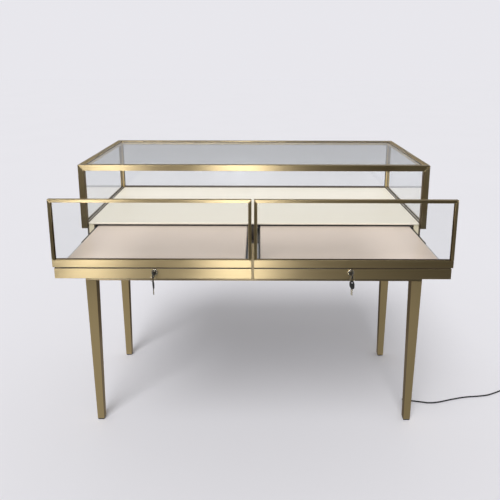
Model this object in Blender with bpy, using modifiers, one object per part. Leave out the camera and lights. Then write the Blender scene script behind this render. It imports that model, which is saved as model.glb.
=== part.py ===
"""Tiered jewellery counter: a glass case over two pull-out show drawers, on a legged base.

Metres, +Z up. X runs along the counter and -Y points to the sales side, where the drawers
pull out. The origin lies on the floor under the middle of the counter, with its drawers part
open and a key in each lock.
"""

import math

import bmesh
import bpy
from mathutils import Matrix, Vector

# Overall sizes
CASE_W = 1.200            # glass case, along X
CASE_D = 0.550            # glass case, along Y
CASE_H = 0.225            # glass case, from the ends of its posts to its top
TUBE = 0.020              # square tube of the case frame
DRAWER_OUT = 0.342        # how far both drawers are pulled out at rest

# Fits
GAP = 0.0003              # between pieces that touch
REVEAL = 0.005            # shadow line beside the drawer fronts
TOP_REVEAL = 0.0088       # shadow line over the drawer fronts
EDGE = 0.0007             # broken edges of metal and board
FACETS = 24               # sides of a round piece
SMALL_FACETS = 12         # sides of a key's hole or a plug's pin
WIRE_FACETS = 6           # sides of the split ring's wire

# Base
FOOT_H = 0.0045
FOOT_INSET = 0.0012
LEG_H = 0.5652
LEG_TOP_W = 0.038
LEG_FOOT_W = 0.025
BASE_D = 0.488
APRON_H = 0.140
APRON_T = 0.018
BOARD_T = 0.0117
BOARD_INSET = 0.012       # of the board's ends from the counter's ends

# Drawer compartment
RUN_CLEAR = 0.004         # under the drawers
SIDE_T = 0.0172
OUTER_BOARD_T = 0.0073    # on the outside of a side, under the case
OUTER_BOARD_SET = 0.004   # behind the side's front edge
DIVIDER_T = 0.018
PANEL_CLEAR = 0.0007      # from a closed drawer front to the compartment behind it
DECK_T = 0.007
DECK_RECESS = 0.003       # below the top of the case's bottom rails
DECK_BACK = 0.003         # behind the closed drawer fronts

# Glass and light
MITRE_CLEAR = 0.004       # of a mitre's cutter past the tube
GLASS_T = 0.006
TOP_GLASS_DROP = 0.002
DOOR_GLASS_T = 0.004
LED_SIZE = 0.011          # behind the front top rail, under the top pane
LED_END = 0.010
DRIVER_L = 0.160
DRIVER_W = 0.045
DRIVER_H = 0.030
DRIVER_SIDE = 0.090       # from the counter's right end
DRIVER_BACK = 0.060       # from the counter's front

# Drawer fronts and trays
FRAME_DEPTH = 0.012
STILE_W = 0.008
TOP_RAIL_H = 0.009
LOWER_RAIL_H = 0.0224
CENTRE_GAP = 0.007
GLASS_REBATE = 0.003
LOCK_RAIL_H = 0.031
LOCK_RAIL_D = 0.018
LOCK_RAIL_INSET = 0.0045
TONGUE_SET = 0.003        # of the lock rail's tongue behind its face
SHADOW_GAP = 0.003
PAD_T = 0.0117
PAD_CLEAR = 0.006         # from the tray to the deck above it
TRAY_L = 0.440
TRAY_WALL = 0.012
TRAY_FLOOR = 0.006
TRAY_FLOOR_BACK = 0.030   # room for the lock's cam

# Telescopic slides
SLIDE_W = 0.0127
SLIDE_H = 0.036
SLIDE_RISE = 0.002        # above the middle of the tray
SLIDE_L = 0.420
SLIDE_WEB = 0.0012
SLIDE_LIP = 0.0015
OUTER_LIP_W = 0.0083      # reach of the outer member's lips
SLIDE_RUN = 0.0004        # between the members
SLIDE_BITE = 0.0005       # of the outer member into the panel that carries it
MIDDLE_SHARE = 0.5        # travel of the middle member per travel of the drawer
MIDDLE_SET = 0.024        # of the middle member's front end behind the outer one's

# Locks and keys
LOCK_UP = 0.0215          # lock axis above the lower edge of the lock rail
LOCK_SHIFT = 0.008        # lock axis from the middle of its front, toward the other lock
BEZEL_R = 0.0095
BEZEL_T = 0.006
BEZEL_ROUND = 0.0012
BARREL_R = 0.0080
PLUG_R = 0.0060
PLUG_SINK = 0.0008
BARREL_BEHIND = 0.0012    # barrel behind the lock rail
CAM_R = 0.032
CAM_W = 0.010
CAM_T = 0.002
CAM_ROUND = 0.0045
CAM_CLEAR = 0.002
KEYWAY_L = 0.016
BLADE_W = 0.0080
BLADE_T = 0.0020
KEY_STAND = 0.003         # from the bezel to the key's head
HEAD_L = 0.025
HEAD_H = 0.022
HEAD_T = 0.0028
HEAD_ROUND = 0.010
HOLE_R = 0.0032
HOLE_BACK = 0.0065        # hole from the head's free end
RING_R = 0.0080
RING_WIRE = 0.0007
SPARE_BLADE_L = 0.020
SHANK_IN = 0.0075         # of the spare's blade inside its head
LEFT_RING_TURN = math.radians(20)
RIGHT_RING_TURN = math.radians(26)

# Mains lead
CORD_D = 0.005
CORD_LIFT = 0.0003        # clear of the floor
RELIEF_L = 0.025
RELIEF_BASE_R = 0.0065
RELIEF_TIP_R = 0.0036
RELIEF_COLLAR = 0.005
RELIEF_Z = 0.045
CORD_STEP = 0.0125
CURVE_STEPS = 20          # between two points of the route
COIL_PITCH = 0.0056
COIL_R = 0.0386
COIL_TURNS = 2.875        # in each layer
CLIMB_TURNS = 0.5
COIL_POINTS = 24          # to a turn
COIL_CENTRE = (1.108, 0.100)
COIL_START = math.radians(90)
TAIL_L = 0.022
PLUG_L = 0.035
PLUG_TAPER = 0.0158
PLUG_W = 0.026
PLUG_T = 0.0136
PLUG_NECK_W = 0.012
PIN_R = 0.0020
PIN_L = 0.019
PIN_SPACING = 0.0186

# Heights, from the floor up
LEG_TOP = FOOT_H + LEG_H
APRON_TOP = LEG_TOP + GAP + APRON_H
BOARD_TOP = APRON_TOP + GAP + BOARD_T
LOCK_RAIL_Z = BOARD_TOP + RUN_CLEAR
LOCK_RAIL_TOP = LOCK_RAIL_Z + LOCK_RAIL_H
FRAME_Z = LOCK_RAIL_TOP + SHADOW_GAP
PAD_Z = LOCK_RAIL_TOP + GAP
PAD_TOP = PAD_Z + PAD_T
DECK_Z = PAD_TOP + PAD_CLEAR
RAIL_TOP = DECK_Z + DECK_T + DECK_RECESS
CASE_BOTTOM = RAIL_TOP - TUBE
CASE_TOP = CASE_BOTTOM + CASE_H
FRAME_TOP = CASE_TOP - TUBE - TOP_REVEAL
LOCK_Z = LOCK_RAIL_Z + LOCK_UP
TRAY_Z = LOCK_RAIL_Z + GAP
TRAY_TOP = PAD_Z - GAP
SLIDE_Z = (TRAY_Z + TRAY_TOP) / 2 + SLIDE_RISE

# Places across the counter
HALF = CASE_W / 2
POST_X = HALF - TUBE
SIDE_X = POST_X - GAP - SIDE_T
DIVIDER_X = DIVIDER_T / 2
TRAY_IN = DIVIDER_X + SLIDE_W
TRAY_OUT = SIDE_X - SLIDE_W
FRAME_IN = CENTRE_GAP / 2
FRAME_OUT = POST_X - REVEAL
LOCK_X = (FRAME_IN + FRAME_OUT) / 2 - LOCK_SHIFT

# Places from front to back
SPARE_HALF = (HEAD_H * math.cos(LEFT_RING_TURN) + HEAD_T * math.sin(LEFT_RING_TURN)) / 2
KEY_REACH = GAP + BEZEL_T + KEY_STAND + HEAD_L - HOLE_BACK + SPARE_HALF
FRONT = (DRAWER_OUT + KEY_REACH - CASE_D) / 2
BACK = FRONT + CASE_D
COMPARTMENT_Y = FRONT + LOCK_RAIL_D + PANEL_CLEAR
DRAWER_Y = FRONT - DRAWER_OUT
CAM_Y = LOCK_RAIL_D + BARREL_BEHIND + GAP

# The lead's route, from the strain relief to the coil
LEG_X = HALF - LEG_TOP_W / 2
CORD_Z = CORD_D / 2 + CORD_LIFT
CORD_ROUTE = (
    (0.5818, -0.008, 0.0410),
    (0.5835, 0.008, 0.0310),
    (0.5870, 0.021, 0.0180),
    (0.5940, 0.032, 0.0080),
    (0.6060, 0.0385, CORD_Z),
    (0.6283, 0.0375, CORD_Z),
    (0.6742, 0.0285, CORD_Z),
    (0.6986, 0.0245, CORD_Z),
    (0.7359, 0.0285, CORD_Z),
    (0.8044, 0.0490, CORD_Z),
    (0.8605, 0.0620, CORD_Z),
    (0.9149, 0.0685, CORD_Z),
    (0.9593, 0.0780, CORD_Z),
    (1.0184, 0.1050, CORD_Z),
    (1.0580, 0.1265, CORD_Z),
)

SIDES = (("left", -1), ("right", 1))
ENDS = ("front", "rear")

for old in list(bpy.data.objects):
    bpy.data.objects.remove(old, do_unlink=True)

parts = bpy.data.collections.new("tiered_jewellery_counter")
cutters = bpy.data.collections.new("cutters")
bpy.context.scene.collection.children.link(parts)
bpy.context.scene.collection.children.link(cutters)


# Materials
def finish(name, colour, roughness, metallic=0.0, alpha=1.0):
    material = bpy.data.materials.new(name)
    material.use_nodes = True
    shader = material.node_tree.nodes["Principled BSDF"]
    shader.inputs["Base Color"].default_value = (*colour, 1.0)
    shader.inputs["Roughness"].default_value = roughness
    shader.inputs["Metallic"].default_value = metallic
    shader.inputs["Alpha"].default_value = alpha
    return material


GOLD = finish("brushed_gold", (0.52, 0.41, 0.24), 0.32, 1.0)
GLASS = finish("clear_glass", (0.86, 0.92, 0.90), 0.02, alpha=0.2)
CREAM = finish("cream_leatherette", (0.86, 0.81, 0.69), 0.6)
BEIGE = finish("beige_lining", (0.64, 0.55, 0.47), 0.7)
BOARD = finish("dark_board", (0.12, 0.09, 0.06), 0.6)
ZINC = finish("zinc_steel", (0.55, 0.57, 0.60), 0.35, 1.0)
DARK_STEEL = finish("dark_steel", (0.03, 0.03, 0.03), 0.4, 1.0)
NICKEL = finish("nickel", (0.70, 0.68, 0.63), 0.2, 1.0)
BLACK = finish("black_plastic", (0.015, 0.015, 0.016), 0.45)
DIFFUSER = finish("light_diffuser", (0.86, 0.84, 0.76), 0.5)
WHITE_CASE = finish("driver_case", (0.75, 0.75, 0.74), 0.45)


# Bodies: one empty for each piece of motion, on its joint
BODY_AT = {}


def body(name, at, parent=None):
    empty = bpy.data.objects.new(name, None)
    parts.objects.link(empty)
    BODY_AT[name] = Vector(at)
    empty.location = at
    if parent:
        carry(empty, parent)
    return name


def carry(item, name):
    """Hangs an object on a body's empty, with its place still given in the counter's frame."""
    item.parent = bpy.data.objects[name]
    item.matrix_parent_inverse = Matrix.Translation(-BODY_AT[name])


# Shapes
def add(name, mesh, at, on, material, edge=0.0):
    item = bpy.data.objects.new(name, mesh)
    item.location = at
    mesh.materials.append(material)
    parts.objects.link(item)
    carry(item, on)
    if edge:
        bevel = item.modifiers.new("broken_edges", "BEVEL")
        bevel.width = edge
        bevel.segments = 1
        bevel.limit_method = "ANGLE"
    return item


def cube_mesh(name, size):
    mesh = bpy.data.meshes.new(name)
    work = bmesh.new()
    bmesh.ops.create_cube(work, size=1.0, matrix=Matrix.Diagonal((*size, 1.0)))
    work.to_mesh(mesh)
    work.free()
    return mesh


def block(name, low, high, on, material, edge=EDGE):
    low, high = Vector(low), Vector(high)
    return add(name, cube_mesh(name, high - low), (low + high) / 2, on, material, edge)


PLANES = {
    "XY": Matrix.Identity(3),
    "XZ": Matrix(((1, 0, 0), (0, 0, -1), (0, 1, 0))),
    "YZ": Matrix(((0, 0, 1), (1, 0, 0), (0, 1, 0))),
}


def plate_mesh(name, outlines, thickness, plane):
    """A flat outline, with any holes, made a closed mesh that is centred on its plane."""
    curve = bpy.data.curves.new(name, "CURVE")
    curve.dimensions = "2D"
    curve.fill_mode = "BOTH"
    curve.extrude = thickness / 2
    for outline in outlines:
        spline = curve.splines.new("POLY")
        spline.points.add(len(outline) - 1)
        spline.use_cyclic_u = True
        for point, (u, v) in zip(spline.points, outline):
            point.co = (u, v, 0.0, 1.0)
    return solid_of(name, curve, PLANES[plane].to_4x4())


def solid_of(name, curve, turn):
    holder = bpy.data.objects.new(name + "_curve", curve)
    parts.objects.link(holder)
    seen = holder.evaluated_get(bpy.context.evaluated_depsgraph_get())
    mesh = bpy.data.meshes.new_from_object(seen)
    bpy.data.objects.remove(holder, do_unlink=True)
    mesh.name = name
    work = bmesh.new()
    work.from_mesh(mesh)
    bmesh.ops.remove_doubles(work, verts=work.verts, dist=1e-6)
    bmesh.ops.transform(work, matrix=turn, verts=work.verts)
    bmesh.ops.recalc_face_normals(work, faces=work.faces)
    work.to_mesh(mesh)
    work.free()
    mesh.materials.clear()
    return mesh


def plate(name, outlines, thickness, plane, at, on, material):
    return add(name, plate_mesh(name, outlines, thickness, plane), at, on, material)


def rectangle(low_u, low_v, high_u, high_v):
    return [(low_u, low_v), (high_u, low_v), (high_u, high_v), (low_u, high_v)]


def circle(u, v, radius, count=FACETS):
    steps = (2 * math.pi * i / count for i in range(count))
    return [(u + radius * math.cos(a), v + radius * math.sin(a)) for a in steps]


def rounded(low_u, low_v, high_u, high_v, radius, count=5):
    """A rectangle with its corners rounded."""
    corners = (
        (high_u - radius, high_v - radius, 0),
        (low_u + radius, high_v - radius, 90),
        (low_u + radius, low_v + radius, 180),
        (high_u - radius, low_v + radius, 270),
    )
    points = []
    for u, v, start in corners:
        for i in range(count):
            angle = math.radians(start + 90 * i / (count - 1))
            points.append((u + radius * math.cos(angle), v + radius * math.sin(angle)))
    return points


FACE_FRONT = Matrix.Rotation(math.radians(90), 4, "X")


def turned(name, profile, at, on, material, closed=False, turn=FACE_FRONT):
    """A profile of (radius, distance) turned about its own axis, which then points to -Y."""
    mesh = bpy.data.meshes.new(name)
    work = bmesh.new()
    points = [work.verts.new((r, 0.0, z)) for r, z in profile]
    for first, second in zip(points, points[1:]):
        work.edges.new((first, second))
    if closed:
        work.edges.new((points[-1], points[0]))
    work.to_mesh(mesh)
    work.free()
    item = add(name, mesh, at, on, material)
    item.rotation_euler = turn.to_euler()
    screw = item.modifiers.new("turn", "SCREW")
    screw.axis = "Z"
    screw.steps = screw.render_steps = FACETS
    screw.use_merge_vertices = True
    screw.merge_threshold = 1e-5
    return item


def tool(item):
    """Turns an object into a hidden cutter or joining piece."""
    item.hide_render = True
    item.display_type = "WIRE"
    parts.objects.unlink(item)
    cutters.objects.link(item)
    return item


def boolean(item, other, operation="DIFFERENCE"):
    change = item.modifiers.new(other.name, "BOOLEAN")
    change.operation = operation
    change.solver = "EXACT"
    change.object = tool(other)
    return item


body("counter", (0.0, 0.0, 0.0))


# Base: four tapered legs on pads, under a ring of aprons and a board
def leg(name, x, y, on):
    mesh = bpy.data.meshes.new("leg_" + name)
    work = bmesh.new()
    bmesh.ops.create_cone(
        work,
        cap_ends=True,
        segments=4,
        radius1=LEG_FOOT_W / math.sqrt(2),
        radius2=LEG_TOP_W / math.sqrt(2),
        depth=LEG_H,
        matrix=Matrix.Rotation(math.radians(45), 4, "Z"),
    )
    work.to_mesh(mesh)
    work.free()
    add("leg_" + name, mesh, (x, y, FOOT_H + LEG_H / 2), on, GOLD, EDGE)
    pad = LEG_FOOT_W / 2 - FOOT_INSET
    block("foot_pad_" + name, (x - pad, y - pad, 0.0), (x + pad, y + pad, FOOT_H - GAP), on, BLACK)


LEG_Y = {"front": FRONT + LEG_TOP_W / 2, "rear": FRONT + BASE_D - LEG_TOP_W / 2}
for end in ENDS:
    for side, sign in SIDES:
        leg(f"{end}_{side}", sign * LEG_X, LEG_Y[end], "counter")

APRON_Z = LEG_TOP + GAP
block("apron_front", (-HALF, FRONT, APRON_Z), (HALF, FRONT + APRON_T, APRON_TOP), "counter", GOLD)
block(
    "apron_rear",
    (-HALF, FRONT + BASE_D - APRON_T, APRON_Z),
    (HALF, FRONT + BASE_D, APRON_TOP),
    "counter",
    GOLD,
)
for side, sign in SIDES:
    low, high = sorted((sign * (HALF - APRON_T), sign * HALF))
    block(
        "apron_" + side,
        (low, FRONT + APRON_T + GAP, APRON_Z),
        (high, FRONT + BASE_D - APRON_T - GAP, APRON_TOP),
        "counter",
        GOLD,
    )

base_board = block(
    "base_board",
    (BOARD_INSET - HALF, FRONT, APRON_TOP + GAP),
    (HALF - BOARD_INSET, BACK, BOARD_TOP),
    "counter",
    GOLD,
)
for side, sign in SIDES:
    reach = CAM_W / 2 + CAM_CLEAR
    slot = block(
        "cam_slot_" + side,
        (sign * LOCK_X - reach, FRONT + CAM_Y - CAM_CLEAR / 2, APRON_TOP - BOARD_T),
        (sign * LOCK_X + reach, FRONT + CAM_Y + CAM_T + CAM_CLEAR, BOARD_TOP + BOARD_T),
        "counter",
        GOLD,
        edge=0.0,
    )
    boolean(base_board, slot)

block(
    "light_driver",
    (HALF - DRIVER_SIDE - DRIVER_L, FRONT + DRIVER_BACK, APRON_TOP - DRIVER_H),
    (HALF - DRIVER_SIDE, FRONT + DRIVER_BACK + DRIVER_W, APRON_TOP),
    "counter",
    WHITE_CASE,
    edge=3 * EDGE,
)


# Drawer compartment: sides, rear and divider stand on the board and carry the deck
def channel(name, web_x, toward, half_h, depth, low_y, high_y, on, material):
    """One C-shaped slide member, with its web at web_x and its lips toward +X or -X."""
    web = web_x + toward * SLIDE_WEB
    tip = web_x + toward * depth
    lip = half_h - SLIDE_LIP
    outline = [
        (web_x, -half_h),
        (tip, -half_h),
        (tip, -lip),
        (web, -lip),
        (web, lip),
        (tip, lip),
        (tip, half_h),
        (web_x, half_h),
    ]
    centre = (0.0, (low_y + high_y) / 2, SLIDE_Z)
    return plate(name, [outline], high_y - low_y, "XZ", centre, on, material)


SLIDE_Y = COMPARTMENT_Y + PANEL_CLEAR
OUTER_HALF = SLIDE_H / 2
MIDDLE_HALF = OUTER_HALF - SLIDE_LIP - SLIDE_RUN
INNER_HALF = MIDDLE_HALF - SLIDE_LIP - SLIDE_RUN
MIDDLE_WEB = SLIDE_WEB + SLIDE_RUN
MIDDLE_TIP = SLIDE_W - GAP - SLIDE_WEB - SLIDE_RUN
INNER_TIP = MIDDLE_WEB + SLIDE_WEB + SLIDE_RUN


def outer_member(name, wall_x, toward):
    return channel(
        name,
        wall_x - toward * SLIDE_BITE,
        toward,
        OUTER_HALF,
        OUTER_LIP_W + SLIDE_BITE,
        SLIDE_Y,
        SLIDE_Y + SLIDE_L,
        "counter",
        ZINC,
    )


for side, sign in SIDES:
    low, high = sorted((sign * SIDE_X, sign * (SIDE_X + SIDE_T)))
    wall = block(
        "compartment_side_" + side,
        (low, COMPARTMENT_Y, BOARD_TOP + GAP),
        (high, BACK - TUBE - GAP, DECK_Z - GAP),
        "counter",
        GOLD,
        edge=0.0,
    )
    low, high = sorted((sign * (SIDE_X + SIDE_T / 2), sign * (SIDE_X + SIDE_T + OUTER_BOARD_T)))
    outer_board = block(
        "outer_board_" + side,
        (low, COMPARTMENT_Y + OUTER_BOARD_SET, BOARD_TOP + GAP),
        (high, BACK - TUBE - GAP, CASE_BOTTOM - GAP),
        "counter",
        BOARD,
        edge=0.0,
    )
    boolean(wall, outer_board, "UNION")
    boolean(wall, outer_member("outer_slide_" + side, sign * SIDE_X, -sign), "UNION")

divider = block(
    "centre_divider",
    (-DIVIDER_X, COMPARTMENT_Y, BOARD_TOP + GAP),
    (DIVIDER_X, BACK - TUBE - GAP, DECK_Z - GAP),
    "counter",
    BOARD,
    edge=0.0,
)
for side, sign in SIDES:
    boolean(divider, outer_member("divider_slide_" + side, sign * DIVIDER_X, sign), "UNION")

block(
    "compartment_rear",
    (-POST_X + GAP, BACK - TUBE, BOARD_TOP + GAP),
    (POST_X - GAP, BACK, RAIL_TOP),
    "counter",
    GOLD,
)
block(
    "display_deck",
    (-POST_X + GAP, FRONT + FRAME_DEPTH + DECK_BACK, DECK_Z),
    (POST_X - GAP, BACK - TUBE - GAP, DECK_Z + DECK_T),
    "counter",
    CREAM,
    edge=2 * EDGE,
)


# Glass case: two welded end frames, mitred to a front and a rear top rail
def mitre_cutter(name, sign, low_y, high_y):
    """What the end of a long rail takes away from an end frame's corner."""
    start, stop = -MITRE_CLEAR, TUBE + MITRE_CLEAR
    reach = CASE_TOP + 2 * MITRE_CLEAR
    slope = GAP * math.sqrt(2)
    outline = [
        (start, CASE_TOP - start - slope),
        (stop, CASE_TOP - stop - slope),
        (stop, reach),
        (start, reach),
    ]
    outline = [(sign * (HALF - u), v) for u, v in outline]
    centre = (0.0, (low_y + high_y) / 2, 0.0)
    return plate(name, [outline], high_y - low_y, "XZ", centre, "counter", GOLD)


for side, sign in SIDES:
    frame = plate(
        "end_frame_" + side,
        [
            rectangle(FRONT, CASE_BOTTOM, BACK, CASE_TOP),
            rectangle(FRONT + TUBE, CASE_BOTTOM + TUBE, BACK - TUBE, CASE_TOP - TUBE),
        ],
        TUBE,
        "YZ",
        (sign * (HALF - TUBE / 2), 0.0, 0.0),
        "counter",
        GOLD,
    )
    spans = ((FRONT - MITRE_CLEAR, FRONT + TUBE + GAP), (BACK - TUBE - GAP, BACK + MITRE_CLEAR))
    for end, (low, high) in zip(ENDS, spans):
        boolean(frame, mitre_cutter(f"mitre_{end}_{side}", sign, low, high))

for end, near in zip(ENDS, (FRONT, BACK - TUBE)):
    outline = [(-HALF, CASE_TOP), (HALF, CASE_TOP), (POST_X, CASE_TOP - TUBE), (-POST_X, CASE_TOP - TUBE)]
    centre = (0.0, near + TUBE / 2, 0.0)
    plate("top_rail_" + end, [outline], TUBE, "XZ", centre, "counter", GOLD)

GLASS_LOW_Y, GLASS_HIGH_Y = FRONT + TUBE + GAP, BACK - TUBE - GAP
GLASS_Z, GLASS_TOP = RAIL_TOP + GAP, CASE_TOP - TUBE - GAP
block(
    "glass_top",
    (-POST_X + GAP, GLASS_LOW_Y, CASE_TOP - TOP_GLASS_DROP - GLASS_T),
    (POST_X - GAP, GLASS_HIGH_Y, CASE_TOP - TOP_GLASS_DROP),
    "counter",
    GLASS,
)
for side, sign in SIDES:
    middle = sign * (HALF - TUBE / 2)
    block(
        "glass_" + side,
        (middle - GLASS_T / 2, GLASS_LOW_Y, GLASS_Z),
        (middle + GLASS_T / 2, GLASS_HIGH_Y, GLASS_TOP),
        "counter",
        GLASS,
    )
block(
    "glass_rear",
    (-POST_X + GAP, BACK - TUBE / 2 - GLASS_T / 2, GLASS_Z),
    (POST_X - GAP, BACK - TUBE / 2 + GLASS_T / 2, GLASS_TOP),
    "counter",
    GLASS,
)

LED_FRONT = FRONT + TUBE + GAP
LED_TOP = CASE_TOP - TOP_GLASS_DROP - GLASS_T - GAP
led_profile = [
    (LED_FRONT, LED_TOP - LED_SIZE),
    (LED_FRONT + LED_SIZE / 3, LED_TOP - LED_SIZE),
    (LED_FRONT + LED_SIZE, LED_TOP - LED_SIZE / 3),
    (LED_FRONT + LED_SIZE, LED_TOP),
    (LED_FRONT, LED_TOP),
]
plate(
    "light_bar",
    [led_profile],
    2 * (POST_X - LED_END),
    "YZ",
    (0.0, 0.0, 0.0),
    "counter",
    DIFFUSER,
)


# Drawers: a glazed front, a lock rail and a shallow tray with a lined pad, on telescopic slides
def span(sign, inner, outer):
    return sorted((sign * inner, sign * outer))


def drawer(side, sign):
    on = body("drawer_" + side, (sign * LOCK_X, DRAWER_Y, SLIDE_Z))
    low, high = span(sign, FRAME_IN, FRAME_OUT)
    opening = (low + STILE_W, FRAME_Z + LOWER_RAIL_H, high - STILE_W, FRAME_TOP - TOP_RAIL_H)
    frame = plate(
        "front_frame_" + side,
        [rectangle(low, FRAME_Z, high, FRAME_TOP), rectangle(*opening)],
        FRAME_DEPTH,
        "XZ",
        (0.0, DRAWER_Y + FRAME_DEPTH / 2, 0.0),
        on,
        GOLD,
    )
    seat = DRAWER_Y + (FRAME_DEPTH - DOOR_GLASS_T) / 2
    rebate = block(
        "glass_rebate_" + side,
        (opening[0] - GLASS_REBATE, seat, opening[1] - GLASS_REBATE),
        (opening[2] + GLASS_REBATE, DRAWER_Y + 2 * FRAME_DEPTH, opening[3] + GLASS_REBATE),
        on,
        GOLD,
        edge=0.0,
    )
    boolean(frame, rebate)
    inset = GLASS_REBATE - GAP
    block(
        "front_glass_" + side,
        (opening[0] - inset, seat + GAP, opening[1] - inset),
        (opening[2] + inset, seat + GAP + DOOR_GLASS_T, opening[3] + inset),
        on,
        GLASS,
    )

    low, high = span(sign, FRAME_IN, FRAME_OUT - LOCK_RAIL_INSET)
    rail = block(
        "lock_rail_" + side,
        (low, DRAWER_Y, LOCK_RAIL_Z),
        (high, DRAWER_Y + LOCK_RAIL_D, LOCK_RAIL_TOP),
        on,
        GOLD,
    )
    tongue = block(
        "tongue_" + side,
        (low + 2 * EDGE, DRAWER_Y + TONGUE_SET, LOCK_RAIL_TOP - TONGUE_SET),
        (high - 2 * EDGE, DRAWER_Y + FRAME_DEPTH, FRAME_Z - GAP),
        on,
        GOLD,
        edge=0.0,
    )
    boolean(rail, tongue, "UNION")
    hole = plate(
        "lock_hole_" + side,
        [circle(sign * LOCK_X, LOCK_Z, BARREL_R + GAP)],
        4 * LOCK_RAIL_D,
        "XZ",
        (0.0, DRAWER_Y, 0.0),
        on,
        GOLD,
    )
    boolean(rail, hole)

    low, high = span(sign, TRAY_IN, TRAY_OUT)
    near = DRAWER_Y + LOCK_RAIL_D + GAP
    far = near + TRAY_L
    tray = block("tray_" + side, (low, near, TRAY_Z), (high, far, TRAY_TOP), on, BOARD, edge=0.0)
    hollow = block(
        "tray_hollow_" + side,
        (low + TRAY_WALL, near - TRAY_WALL, TRAY_Z + TRAY_FLOOR),
        (high - TRAY_WALL, far - TRAY_WALL, TRAY_TOP + TRAY_FLOOR),
        on,
        BOARD,
        edge=0.0,
    )
    cam_room = block(
        "cam_room_" + side,
        (low + TRAY_WALL, near - TRAY_WALL, TRAY_Z - TRAY_FLOOR),
        (high - TRAY_WALL, near + TRAY_FLOOR_BACK, TRAY_TOP),
        on,
        BOARD,
        edge=0.0,
    )
    boolean(tray, hollow)
    boolean(tray, cam_room)
    block(
        "tray_pad_" + side,
        (low, DRAWER_Y + FRAME_DEPTH + GAP, PAD_Z),
        (high, far, PAD_TOP),
        on,
        BEIGE,
        edge=2 * EDGE,
    )

    walls = (("outer", sign * SIDE_X, -sign), ("inner", sign * DIVIDER_X, sign))
    for place, wall_x, toward in walls:
        channel(
            f"slide_inner_{side}_{place}",
            wall_x + toward * (SLIDE_W - GAP),
            -toward,
            INNER_HALF,
            SLIDE_W - GAP - INNER_TIP,
            near + PANEL_CLEAR,
            near + PANEL_CLEAR + SLIDE_L,
            on,
            ZINC,
        )
    middle_y = SLIDE_Y - MIDDLE_SHARE * DRAWER_OUT
    slides = body("slides_" + side, (sign * LOCK_X, middle_y, SLIDE_Z))
    for place, wall_x, toward in walls:
        channel(
            f"slide_middle_{side}_{place}",
            wall_x + toward * MIDDLE_WEB,
            toward,
            MIDDLE_HALF,
            MIDDLE_TIP - MIDDLE_WEB,
            middle_y + MIDDLE_SET,
            middle_y + SLIDE_L,
            slides,
            DARK_STEEL,
        )
    return on


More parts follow.
